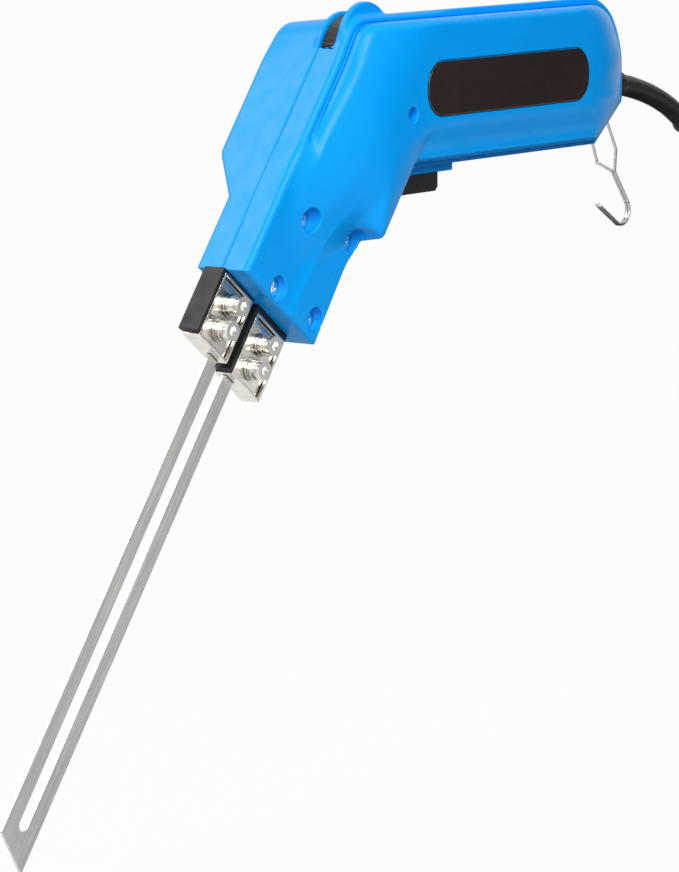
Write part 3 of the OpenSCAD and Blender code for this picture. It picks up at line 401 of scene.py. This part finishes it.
def shell_cuts(d, x, w, z):
    trigger = np.maximum(box_distance(x, z, *TRIGGER_HOLE), np.abs(w) - TRIGGER_HOLE_HALF)
    cord = np.maximum(np.hypot(z - CORD_Z, w) - CORD_HOLE_R, CORD_HOLE_X - x)
    leg = np.abs(np.abs(w) - HOOK_LEG_W) - HOOK_SLOT_HALF
    leg = np.maximum(np.hypot(x - HOOK[0], z - HOOK[1]) - HOOK_SLOT_R, leg)
    for cut, k in ((trigger, CUT_BLEND), (cord, CUT_BLEND), (leg, FINE_BLEND)):
        d = soft_max(d, -cut, k)
    return d


def label_outline(x, z):
    return rounded(np.abs(x - LABEL_X) - LABEL_HALF_X, np.abs(z - LABEL_Z) - LABEL_HALF_Z, LABEL_R)


def label_distance(x, w, z):
    return rounded(label_outline(x, z), np.abs(w - GRIP_HALF) - LABEL_HALF_W, LABEL_EDGE)


# The raised panel rises out of the nose: knots of its foot's place p and of the log of its slope for each q
FOOT = ([-49, -44, -38, -30, -22, -13, -5, 0], [41.3, 41.3, 38.5, 31, 28, 32, 39, 44])
SLOPE = ([-49, -45, -40, -34, -27, -18, 0], [1.9, 1.3, 0.5, -0.2, -0.65, -0.82, -0.85])
KNOT_STEP, SMOOTH_OVER = 0.5, 9

# Left half: sizes of its forms, and where they set in and are full along p, q, x or z
REAR_Q, UNDER_Z = (-36, -48), (-8, -20)
CREASE_RISE, CREASE_Q, CREASE_P = 0.9, (-23.5, -30), (46, 34)
SLAB_R, SLAB_R_LOSS = 2.3, 1.4
REAR_FALL, REAR_FALL_Q = 2.2, (-35, -49)
FRONT_FALL, FRONT_FALL_Q = 6, (-3, -29)
PANEL_R, PANEL_R_MOST, PANEL_R_LOSS = 3.5, 10, 8
BELLY_R, BELLY_Z, BELLY_X = 6.5, (6, -8), (-66, -52)
BACK_R, BACK_X = 4, (40, 70)
RAMP_BLEND, RAMP_BLEND_LOSS, RAMP_SPREAD = 10, 8.5, 1.8
RAMP_LAST_Q, NO_RAMP = -60, -30
FOOT_BLEND, FOOT_BLEND_LOW, FOOT_P = 0.7, 6, (58, 44)
GROOVE_W, GROOVE_R, GROOVE_P, GROOVE_OUT = 11.1, 0.45, (54, 51), 2
PARTING, PARTING_BLEND = 0.09, 0.5


def smooth_curve(q, knots):
    at = np.arange(-HEAD_DEPTH, 0.01, KNOT_STEP)
    line = np.interp(at, *knots)
    for _ in range(3):
        line = np.pad(line, SMOOTH_OVER // 2, "edge")
        line = np.convolve(line, np.full(SMOOTH_OVER, 1 / SMOOTH_OVER), "valid")
    return np.interp(q, at, line)


# Rim slab and raised panel, and the groove between them
def left_outside(x, w, z, side, grip):
    p, q = head_place(x, z)
    rear = ease(q, *REAR_Q)
    under = ease(z, *UNDER_Z)
    rear_under = under * rear
    crease = share(q, *CREASE_Q) ** 1.5 * ease(p, *CREASE_P)
    slab = rounded(side, w - NOSE_HALF - CREASE_RISE * crease, SLAB_R - SLAB_R_LOSS * rear)
    inset = join(polygon_distance(x, level(w, z), PANEL_SIDE), grip + RIM, z)
    fall = under * REAR_FALL * share(q, *REAR_FALL_Q) ** 2 + FRONT_FALL * (1 - share(q, *FRONT_FALL_Q)) ** 2
    edge = PANEL_R + BELLY_R * ease(z, *BELLY_Z) * ease(x, *BELLY_X) + BACK_R * ease(x, *BACK_X)
    edge = np.minimum(edge, PANEL_R_MOST - PANEL_R_LOSS * rear_under)
    panel = rounded(inset, w - GRIP_HALF + fall, edge)
    foot, slope = smooth_curve(q, FOOT), np.exp(smooth_curve(q, SLOPE))
    ramp = (w - NOSE_HALF - (p - foot) * slope) / np.sqrt(1 + RAMP_SPREAD * slope ** 2)
    ramp = np.where(q < RAMP_LAST_Q, NO_RAMP, ramp)
    panel = soft_max(panel, ramp, RAMP_BLEND - RAMP_BLEND_LOSS * rear)
    low = ease(p, *FOOT_P) * (1 - rear)
    outside = soft_min(slab, panel, FOOT_BLEND + FOOT_BLEND_LOW * low)
    groove = np.hypot(inset, w - GROOVE_W) - GROOVE_R + GROOVE_OUT * (ease(p, *GROOVE_P) + rear_under)
    return outside, groove


# Recesses for the housing screws, each with a boss around it
def screw_wells(d, x, w, z, outside):
    for wx, wz, r in WELLS:
        well = np.hypot(x - wx, z - wz)
        boss = np.maximum(well - r - WELL_WALL, outside + WELL_SKIN)
        d = np.minimum(d, np.maximum(boss, -w))
        d = soft_max(d, -np.maximum(well - r, WELL_FLOOR_W - w), WELL_BLEND)
        d = np.maximum(d, SCREW_HOLE_R - well)
    return d


def left_distance(x, w, z):
    head, grip = side_distance(x, w, z)
    outside, groove = left_outside(x, w, z, join(head, grip, z), grip)
    d = soft_max(outside, -groove, FINE_BLEND)
    guard = np.hypot(x - GUARD[0], z - GUARD[1])
    guard_w = np.abs(w - GUARD_MID) - GUARD_HALF
    d = soft_min(d, rounded(guard - GUARD_R, guard_w, GUARD_EDGE), GUARD_BLEND)
    d = np.minimum(d, trigger_lip(x, w, z))
    d = np.maximum(d, -inner_space(x, w, z, head, grip, True))
    d = np.minimum(d, np.maximum(guard - GUARD_CORE_R, guard_w))
    d = screw_wells(d, x, w, z, outside)
    dial = np.hypot(x - DIAL[0], z - DIAL[1]) - DIAL_SPACE_R
    d = soft_max(d, -np.maximum(dial, w - DIAL_SPACE_W), CUT_BLEND)
    d = soft_max(d, -np.maximum(label_outline(x, z) - LABEL_PLAY, LABEL_SEAT_W - w), FINE_BLEND)
    d = shell_cuts(d, x, w, z)
    return soft_max(d, PARTING - w, PARTING_BLEND)


# Right half: a plain body on a narrow nose, with a cheek beside the dial
SHOULDER_P, SHOULDER_SLOPE, SHOULDER_BLEND = 28, 12 / 18, 1.2
NOSE_TOP_P, NOSE_EDGE, BODY_EDGE = 34, 1.6, 2.5


def right_distance(x, w, z):
    head, grip = side_distance(x, w, z)
    side = join(head, grip, z)
    p, _ = head_place(x, z)
    a = -w
    d = rounded(side, a - GRIP_HALF, BODY_EDGE)
    shoulder = (a - NOSE_HALF - (p - SHOULDER_P) * SHOULDER_SLOPE) / math.hypot(1, SHOULDER_SLOPE)
    d = soft_max(d, shoulder, SHOULDER_BLEND)
    d = np.minimum(d, np.maximum(rounded(side, a - NOSE_HALF, NOSE_EDGE), p - NOSE_TOP_P))
    d = np.minimum(d, trigger_lip(x, w, z))
    dial = np.hypot(x - DIAL[0], z - DIAL[1])
    cheek = rounded(dial - CHEEK_R, np.abs(w - CHEEK_MID) - CHEEK_HALF, CHEEK_EDGE)
    d = soft_min(d, cheek, CHEEK_BLEND)
    d = np.maximum(d, -inner_space(x, w, z, head, grip, False))
    d = np.minimum(d, np.maximum(dial - CHEEK_CORE_R, np.abs(w + CHEEK_CORE_HALF) - CHEEK_CORE_HALF))
    d = np.maximum(d, -np.maximum(dial - SHAFT_HOLE_R, np.abs(w) - SHAFT_HOLE_HALF))
    d = shell_cuts(d, x, w, z)
    return soft_max(d, w + PARTING, PARTING_BLEND)


def add_mesh(name, verts, faces):
    mesh = bpy.data.meshes.new(name)
    mesh.from_pydata(verts, [], faces)
    mesh.update()
    obj = bpy.data.objects.new(name, mesh)
    scene.collection.objects.link(obj)
    return obj


# Mean of the places where the surface crosses a cell's edges, in cells
def crossing_points(v, cell, corners):
    total, hits = np.zeros((len(cell), 3)), np.zeros(len(cell))
    for c in corners:
        for axis in range(3):
            if c[axis]:
                continue
            e = list(c)
            e[axis] = 1
            va = v[tuple((cell + c).T)].astype(float)
            vb = v[tuple((cell + e).T)].astype(float)
            cross = (va < 0) != (vb < 0)
            t = np.where(cross, va / np.where(cross, va - vb, 1), 0)
            at = np.array(c, float) + np.outer(t, np.eye(3)[axis])
            total += np.where(cross[:, None], at, 0)
            hits += cross
    return cell + total / hits[:, None]


# One quad for each grid edge that the surface crosses, through the four cells around it
def crossing_quads(neg, index):
    shape = index.shape
    unit = np.eye(3, dtype=int)
    quads = []
    for axis in range(3):
        change = neg != np.roll(neg, -1, axis)
        inner = [slice(1, n) for n in shape]
        inner[axis] = slice(0, shape[axis])
        where = np.argwhere(change[tuple(inner)]) + 1 - unit[axis]
        u, w = [unit[k] for k in range(3) if k != axis]
        quad = np.stack([index[tuple((where - o).T)] for o in (u + w, w, 0 * u, u)], 1)
        flip = neg[tuple(where.T)] != (axis == 1)
        quad[flip] = quad[flip][:, ::-1]
        quads.append(quad)
    quads = np.concatenate(quads)
    return quads[(quads >= 0).all(1)]


def gradient(distance, pts, h):
    ahead = [distance(*(pts + h * e).T) for e in np.eye(3)]
    behind = [distance(*(pts - h * e).T) for e in np.eye(3)]
    return (np.stack(ahead, 1) - np.stack(behind, 1)) / (2 * h)


def to_model(pts):
    return np.stack([pts[:, 0], -pts[:, 1], pts[:, 2]], 1)


# Mesh of a distance function: one vertex a cell, moved on to the surface, with the surface's own normals
MARGIN_CELLS, MOVE_CELLS, MOVES = 2, 0.4, 2
PROBE, NORMAL_PROBE, LEAST_SLOPE, TINY = 0.05, 0.12, 0.2, 1e-9


def surface(name, distance, low, high, step):
    margin = MARGIN_CELLS * step
    axes = [np.arange(a - margin, b + margin, step) for a, b in zip(low, high)]
    v = np.empty([len(a) for a in axes], np.float32)
    gx, gz = np.meshgrid(axes[0], axes[2], indexing="ij")
    for j, w in enumerate(axes[1]):
        v[:, j, :] = distance(gx, np.full(gx.shape, w), gz)
    neg = v < 0
    ni, nj, nk = (n - 1 for n in v.shape)
    corners = [(i, j, k) for i in (0, 1) for j in (0, 1) for k in (0, 1)]
    count = sum(neg[i:i + ni, j:j + nj, k:k + nk].astype(np.int8) for i, j, k in corners)
    mask = (count > 0) & (count < 8)
    cell = np.argwhere(mask)
    index = np.full(mask.shape, -1, np.int64)
    index[mask] = np.arange(len(cell))
    co = np.array([a[0] for a in axes]) + crossing_points(v, cell, corners) * step
    for _ in range(MOVES):
        g = gradient(distance, co, PROBE)
        move = g * (distance(*co.T) / np.maximum((g * g).sum(1), LEAST_SLOPE))[:, None]
        size = np.linalg.norm(move, axis=1, keepdims=True)
        co -= move * np.minimum(1, MOVE_CELLS * step / np.maximum(size, TINY))
    normal = gradient(distance, co, NORMAL_PROBE)
    normal /= np.maximum(np.linalg.norm(normal, axis=1, keepdims=True), TINY)
    obj = add_mesh(name, (to_model(co) * MM).tolist(), crossing_quads(neg, index).tolist())
    obj.data.shade_smooth()
    obj.data.normals_split_custom_set_from_vertices(to_model(normal).tolist())
    return obj


def dress(obj, slot):
    obj.data.materials.clear()
    obj.data.materials.append(MATS[slot])


# A piece of the scene rides on a body and stands for nodes of the CAD
def give(obj, slot, body, *stands_for):
    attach(obj, body)
    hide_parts(*stands_for)
    dress(obj, slot)
    return obj


STEP, SCREW_STEP = ((0.6, 0.2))
SHELL_X, SHELL_LOW, SHELL_W = (-189, 97), -84, 24
LABEL_BOX = (-62, 22, -8), (44, 24, 13)
for name, distance, near_w, far_w, top in (("left", left_distance, 0, SHELL_W, 37),
                                           ("right", right_distance, -SHELL_W, 0, 32)):
    low, high = (SHELL_X[0], near_w, SHELL_LOW), (SHELL_X[1], far_w, top)
    give(surface("shell_" + name, distance, low, high, STEP), "shell", "housing", name + "_shell")
give(surface("label_bar", label_distance, *LABEL_BOX, STEP), "label", "housing", "label_plate")


# Round tube through points in mm, with a radius at each and flat ends
def tube(name, pts, radii, sides):
    pts = np.array(pts, float)
    radii = np.broadcast_to(radii, len(pts))
    tang = np.gradient(pts, axis=0)
    tang /= np.linalg.norm(tang, axis=1, keepdims=True)
    n = np.cross(tang[0], [0.0, 1.0, 0.0] if abs(tang[0][1]) < 0.9 else [1.0, 0.0, 0.0])
    turn = np.linspace(0, 2 * math.pi, sides, endpoint=False)
    verts = []
    for c, t, r in zip(pts, tang, radii):
        n = n - t * n.dot(t)
        n /= np.linalg.norm(n)
        b = np.cross(t, n)
        verts.append(c + r * (np.outer(np.cos(turn), n) + np.outer(np.sin(turn), b)))
    faces = []
    for i in range(len(pts) - 1):
        for k in range(sides):
            a, b = i * sides + k, i * sides + (k + 1) % sides
            faces.append((a, b, b + sides, a + sides))
    faces.append(tuple(range(sides))[::-1])
    faces.append(tuple(range((len(pts) - 1) * sides, len(pts) * sides)))
    obj = add_mesh(name, (np.concatenate(verts) * MM).tolist(), faces)
    obj.data.shade_smooth()
    return obj


# Curve through all the points, with n steps from each to the next
def spline(pts, n):
    pts = np.array(pts, float)
    out = []
    for i in range(len(pts) - 1):
        p0, p1, p2, p3 = pts[max(i - 1, 0)], pts[i], pts[i + 1], pts[min(i + 2, len(pts) - 1)]
        for t in np.arange(n) / n:
            out.append(0.5 * (2 * p1 + (p2 - p0) * t + (2 * p0 - 5 * p1 + 4 * p2 - p3) * t * t
                              + (3 * p1 - p0 - 3 * p2 + p3) * t ** 3))
    out.append(pts[-1])
    return out


# The bend sleeve covers the start of the cord: collar in the housing's end, long taper, bead at the mouth.
# Collar rings: distance from the start and radius. Bead rings: distance from the mouth and rise
MOUTH, CORD_START = (149.5, 0, -24.4), (156, 0, -31)
SLEEVE_ROUTE = [(86, 0, CORD_Z), (93, 0, CORD_Z), (98.6, 0, -5.9), (106, 0, -6.9), (113.7, 0, -8.6),
                (122, 0, -10.9), (130.4, 0, -13.9), (138.7, 0, -17.7), MOUTH, CORD_START]
COLLAR_END, SLEEVE_R = 12.6, (4.2, 3.85)
COLLAR = [(0, SLEEVE_R[0]), (7.05, SLEEVE_R[0]), (7.1, 4.9), (7.2, 5.2), (7.5, 5.5), (7.9, 5.6), (11.8, 5.6),
          (12.2, 5.5), (12.5, 5.2), (12.58, 4.8), (COLLAR_END, SLEEVE_R[0])]
BEAD = [(2.9, 0), (2.6, 0.2), (2.4, 0.5), (2.0, 0.66), (1.3, 0.68), (0.6, 0.63), (0.2, 0.45), (0.02, 0.25)]


def bend_sleeve():
    steps = 8
    route = np.array(spline(SLEEVE_ROUTE, steps)[:-steps])
    run = np.concatenate([[0], np.cumsum(np.linalg.norm(np.diff(route, axis=0), axis=1))])
    mouth = run[-1]

    def radius(at):
        return float(np.interp(at, (COLLAR_END, mouth), SLEEVE_R))

    taper = np.linspace(COLLAR_END + 0.4, mouth - BEAD[0][0] - 0.3, 48)
    rings = [*COLLAR, *[(at, radius(at)) for at in taper],
             *[(mouth - left, radius(mouth - left) + rise) for left, rise in BEAD]]
    centres = [[np.interp(at, run, route[:, k]) for k in range(3)] for at, r in rings]
    give(tube("bend_sleeve", centres, [r for at, r in rings], 40), "rubber", "housing", "strain_relief")


bend_sleeve()

# Hook: one bent wire with two legs from the pivot. Lengths in mm, leans in degrees back from straight down
NEAR_LEG, FAR_LEG = (18, 31), (22.7, 24)
NECK, SHANK = (10, 28), (15.8, 38)
BEND_R, BEND_END_DEG = 5.4, -121
TIP, TIP_DEG = 14.6, 149
KNEE_W, NECK_W, PAIR_W = 4.15, 0.75, 0.62
WIRE_R, CORNER = 0.6, 1.5


def hang(start, length, lean):
    return np.array(start) + length * heading(lean - 90)


def hook_leg(knee, neck):
    fall, reach = knee - HOOK, neck - knee
    fall, short = fall / np.linalg.norm(fall), CORNER / np.linalg.norm(reach)
    narrower = (KNEE_W - NECK_W) * short
    return [(HOOK, 0.4), (HOOK, HOOK_LEG_W - 1), (HOOK + 0.3 * fall, HOOK_LEG_W - 0.3),
            (HOOK + fall, HOOK_LEG_W), (knee - CORNER * fall, HOOK_LEG_W), (knee, KNEE_W),
            (knee + short * reach, KNEE_W - narrower),
            (neck - short * reach, NECK_W + narrower), (neck, PAIR_W + 0.15)]


def hook_wire():
    knee, far_knee = hang(HOOK, *NEAR_LEG), hang(HOOK, *FAR_LEG)
    neck = hang(knee, *NECK)
    bend = hang(neck, *SHANK) - BEND_R * heading(SHANK[1])
    turn = arc(bend, BEND_R, SHANK[1], BEND_END_DEG, 14)
    tip_way = heading(TIP_DEG)
    tip = np.array(turn[-1]) + TIP * tip_way
    shared = [(c, PAIR_W) for c in (hang(neck, CORNER, SHANK[1]), *turn, tip)]
    wire = [(c[0], -w, c[1]) for c, w in hook_leg(knee, neck) + shared]
    for across, along in PAIR_W * np.array([heading(a) for a in (45, 90, 135)]):
        c = tip + along * tip_way
        wire.append((c[0], -across, c[1]))
    wire += [(c[0], w, c[1]) for c, w in (hook_leg(far_knee, neck) + shared)[::-1]]
    give(tube("hook_wire", spline(wire, 4), WIRE_R, 14), "wire", "hook", "hanging_hook")


hook_wire()


# Return spring: a wire helix that fills the CAD spring's box, on a mesh of its own
def return_spring():
    low, high = (np.array(corner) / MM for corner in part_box("trigger_spring"))
    mid, thick, coils = (low + high) / 2, 0.4, 5
    r = (high[0] - low[0]) / 2 - thick
    turn = np.linspace(0, 2 * math.pi * coils, 24 * coils + 1)
    rise = np.linspace(low[2] + thick, high[2] - thick, len(turn))
    pts = np.stack([mid[0] + r * np.cos(turn), mid[1] + r * np.sin(turn), rise], 1)
    spring = give(tube("return_spring", pts, thick, 10), "wire", "housing", "trigger_spring")
    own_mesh(spring)


return_spring()

# Housing screws: pan heads with a cross recess, lifted against the CAD's
PAN_R, PAN_PLAY, PAN_EDGE = 3.75, 0.3, 0.3
PAN_TOP, PAN_HALF, PAN_DOME = 7.4, 1, 5
THREAD_R, THREAD_MID, THREAD_HALF = 1.5, -1.5, 7
CROSS_ARM, CROSS_CUT = 0.58, 0.14
CROSS_TAPER, CROSS_FLOOR = 0.2, 6.2
LIFTS = (0.4, 0.4, 1.1, 1.1, 0.4)
SCREW_W, FIRST_SPIN, SPIN_STEP = (-9, 9.2), 0.4, 1.3


def screw_shape(r, lift):
    def distance(x, w, z):
        across, w = np.hypot(x, z), w - lift
        d = rounded(across - r, np.abs(w - PAN_TOP + PAN_HALF) - PAN_HALF, PAN_EDGE)
        d = np.maximum(d, np.hypot(across, w - PAN_TOP + PAN_DOME * r) - PAN_DOME * r)
        d = np.minimum(d, np.maximum(across - THREAD_R, np.abs(w - THREAD_MID) - THREAD_HALF))
        a, b, arm, cut = np.abs(x), np.abs(z), CROSS_ARM * r, CROSS_CUT * r
        cross = np.minimum(np.maximum(a - cut, b - arm), np.maximum(b - cut, a - arm))
        return np.maximum(d, -np.maximum(cross + (PAN_TOP - w) * CROSS_TAPER, CROSS_FLOOR - w))
    return distance


for i, ((wx, wz, well_r), lift) in enumerate(zip(WELLS, LIFTS)):
    r = min(well_r - PAN_PLAY, PAN_R)
    low, high = (-r, SCREW_W[0], -r), (r, SCREW_W[1], r)
    screw = surface("screw", screw_shape(r, lift), low, high, SCREW_STEP)
    spin = Matrix.Rotation(FIRST_SPIN + SPIN_STEP * i, 4, "Y")
    screw.data.transform(Matrix.Translation((wx * MM, 0, wz * MM)) @ spin)
    give(screw, "screw", "housing", "housing_screws")

# Cord on the CAD's route from the sleeve's mouth: lead, coil, and a tail that ends in the plug
CORD_D, DROP_X, COIL_Z = 6.6, 178, -110.6
CORD_LEAD = [MOUTH, CORD_START, (161, 0, -37), (166, 0, -44), (170, 0, -52), (173, 0, -60), (175, 0, -69),
             (177, 0, -79), (DROP_X, 0, -90), (DROP_X, 0, -97.4), (DROP_X, 0, -104)]
COIL_R, LAYER = 38.0, 7.4
LAYERS, LAYER_TURNS, TURN_STEPS = 4, 1.5, 72
TURNS = LAYER_TURNS * LAYERS
TAIL_DROPS = (6.6, 20, 36, 52.6)


# Layer across the width after t turns: a soft step of half a turn from each layer to the next
def climb(t):
    k = math.floor(t / LAYER_TURNS + 0.5)
    if k < 1 or k >= LAYERS:
        return min(max(k, 0), LAYERS - 1)
    s = (t - LAYER_TURNS * k) * 2
    return k - 1 + (1 - math.cos(math.pi * min(max(s + 0.5, 0), 1))) / 2


def cord_route():
    pts = spline(CORD_LEAD, 4)
    outer = COIL_R + LAYER_TURNS * LAYER / 2
    mid = np.array([DROP_X + outer, 0, COIL_Z])
    for i in range(int(TURNS * TURN_STEPS) + 1):
        t = min(i / TURN_STEPS, TURNS - 1e-5)
        m = t % (2 * LAYER_TURNS)
        r = outer - LAYER * min(m, 2 * LAYER_TURNS - m)
        a = math.pi + 2 * math.pi * t
        pts.append(mid + [r * math.cos(a), -LAYER * climb(t), r * math.sin(a)])
    return pts + [np.array([DROP_X, -(LAYERS - 1) * LAYER, COIL_Z - drop]) for drop in TAIL_DROPS]


cord_pts = cord_route()
cord_tube = tube("cord", cord_pts, CORD_D / 2, 16)
cord = give(cord_tube, "rubber", "housing", "cord_lead", "cord_coil", "cord_tail")

# CAD nodes shown as they are, with softened edges of these widths in mm
EDGE = {"blade": 0.12, "front_tray": 0.42, "rear_tray": 0.42, "front_insulator": 0.3, "rear_insulator": 0.3,
        "clamp_plates": 0.2, "clamp_screws": 0.3, "plain_washers": 0.12, "spring_washers": 0.12,
        "trigger": 0.9, "dial_wheel": 0.12, "cord_tie": 0.3, "plug_pins": 0.4, "plug_body": 0.3}
WELD_MM, EDGE_ANGLE = 0.01, 32


def soften(obj, width):
    weld = obj.modifiers.new("weld", "WELD")
    weld.merge_threshold = WELD_MM * MM
    bevel = obj.modifiers.new("bevel", "BEVEL")
    bevel.width = width * MM
    bevel.segments = 3
    bevel.limit_method = "ANGLE"
    bevel.angle_limit = math.radians(EDGE_ANGLE)
    bevel.harden_normals = True


slots = {s["node"]: s["material_slot"] for s in frame["record"]["subparts"]}
for name, obj in nodes.items():
    dress(obj, slots[name])
    if name in EDGE:
        soften(obj, EDGE[name])

[c * MM for c in MOUTH]
[(np.array(p) * MM).tolist() for p in cord_pts]

# Stage in metres: pale floor far below, pale surroundings, two dark cards for reflections and soft lights
FLOOR_Z, FLOOR_HALF = -0.5, 14
FLOOR_GREY, FLOOR_GLOW, CARD_GREY = 0.45, 0.97, 0.05
AMBIENT, MATT = 0.17, 0.9
SIDE_CARD = [(0.55, -1.25, -0.25), (1.35, -0.15, -0.25), (1.35, -0.15, 0.55), (0.55, -1.25, 0.55)]
LOW_CARD = [(0.25, -0.7, -0.49), (1.4, -0.7, -0.49), (1.4, 0.6, -0.49), (0.25, 0.6, -0.49)]
LIGHTS = [("key", (-1.15, -0.95, 0.75), (-0.06, 0, -0.02), 1.0, 25),
          ("edge", (-0.48, -1.03, 1.12), (-0.06, 0, -0.02), 0.45, 6),
          ("top", (-0.6, 0.9, 1.05), (-0.12, 0, 0), 0.6, 6)]


# 1 for rays from the camera and for mirrored or transmitted ones, 0 for the rays that light the object
def seen_directly(tree):
    path = tree.nodes.new("ShaderNodeLightPath")
    seen = path.outputs["Is Camera Ray"]
    for name in ("Is Glossy Ray", "Is Transmission Ray"):
        most = tree.nodes.new("ShaderNodeMath")
        most.operation = "MAXIMUM"
        tree.links.new(seen, most.inputs[0])
        tree.links.new(path.outputs[name], most.inputs[1])
        seen = most.outputs[0]
    return seen


def matt_grey(name, grey):
    s = Shader(name)
    s.bsdf.inputs["Base Color"].default_value = (grey, grey, grey, 1)
    s.bsdf.inputs["Roughness"].default_value = MATT
    return s


def add_floor():
    h, z = FLOOR_HALF, FLOOR_Z
    floor = add_mesh("floor", [(-h, -h, z), (h, -h, z), (h, h, z), (-h, h, z)], [(0, 1, 2, 3)])
    pale = matt_grey("floor_pale", FLOOR_GREY)
    glow = pale.new("ShaderNodeEmission", Strength=1.0)
    blend = pale.new("ShaderNodeMixShader")
    pale.link(pale.ramp(seen_directly(pale.tree), 0, FLOOR_GLOW, (0, 1)), blend.inputs["Fac"])
    pale.link(pale.bsdf.outputs["BSDF"], blend.inputs[1])
    pale.link(glow.outputs["Emission"], blend.inputs[2])
    pale.link(blend.outputs["Shader"], pale.tree.nodes["Material Output"].inputs["Surface"])
    floor.data.materials.append(pale.mat)


def add_world():
    world = bpy.data.worlds.new("world")
    scene.world = world
    world.use_nodes = True
    tree = world.node_tree
    strength = tree.nodes.new("ShaderNodeMapRange")
    strength.inputs["To Min"].default_value = AMBIENT
    strength.inputs["To Max"].default_value = 1.0
    tree.links.new(seen_directly(tree), strength.inputs["Value"])
    tree.nodes["Background"].inputs["Color"].default_value = (1, 1, 1, 1)
    tree.links.new(strength.outputs["Result"], tree.nodes["Background"].inputs["Strength"])


def add_cards():
    cards = add_mesh("card", SIDE_CARD + LOW_CARD, [(0, 1, 2, 3), (4, 5, 6, 7)])
    cards.visible_camera = False
    cards.visible_shadow = False
    cards.data.materials.append(matt_grey("card_grey", CARD_GREY).mat)


def add_light(name, at, to, size, power):
    data = bpy.data.lights.new(name, "AREA")
    data.shape = "SQUARE"
    data.size = size
    data.energy = power
    light = bpy.data.objects.new(name, data)
    light.location = at
    light.rotation_euler = (Vector(to) - Vector(at)).to_track_quat("-Z", "Y").to_euler()
    scene.collection.objects.link(light)


add_floor()
add_world()
add_cards()
for light in LIGHTS:
    add_light(*light)
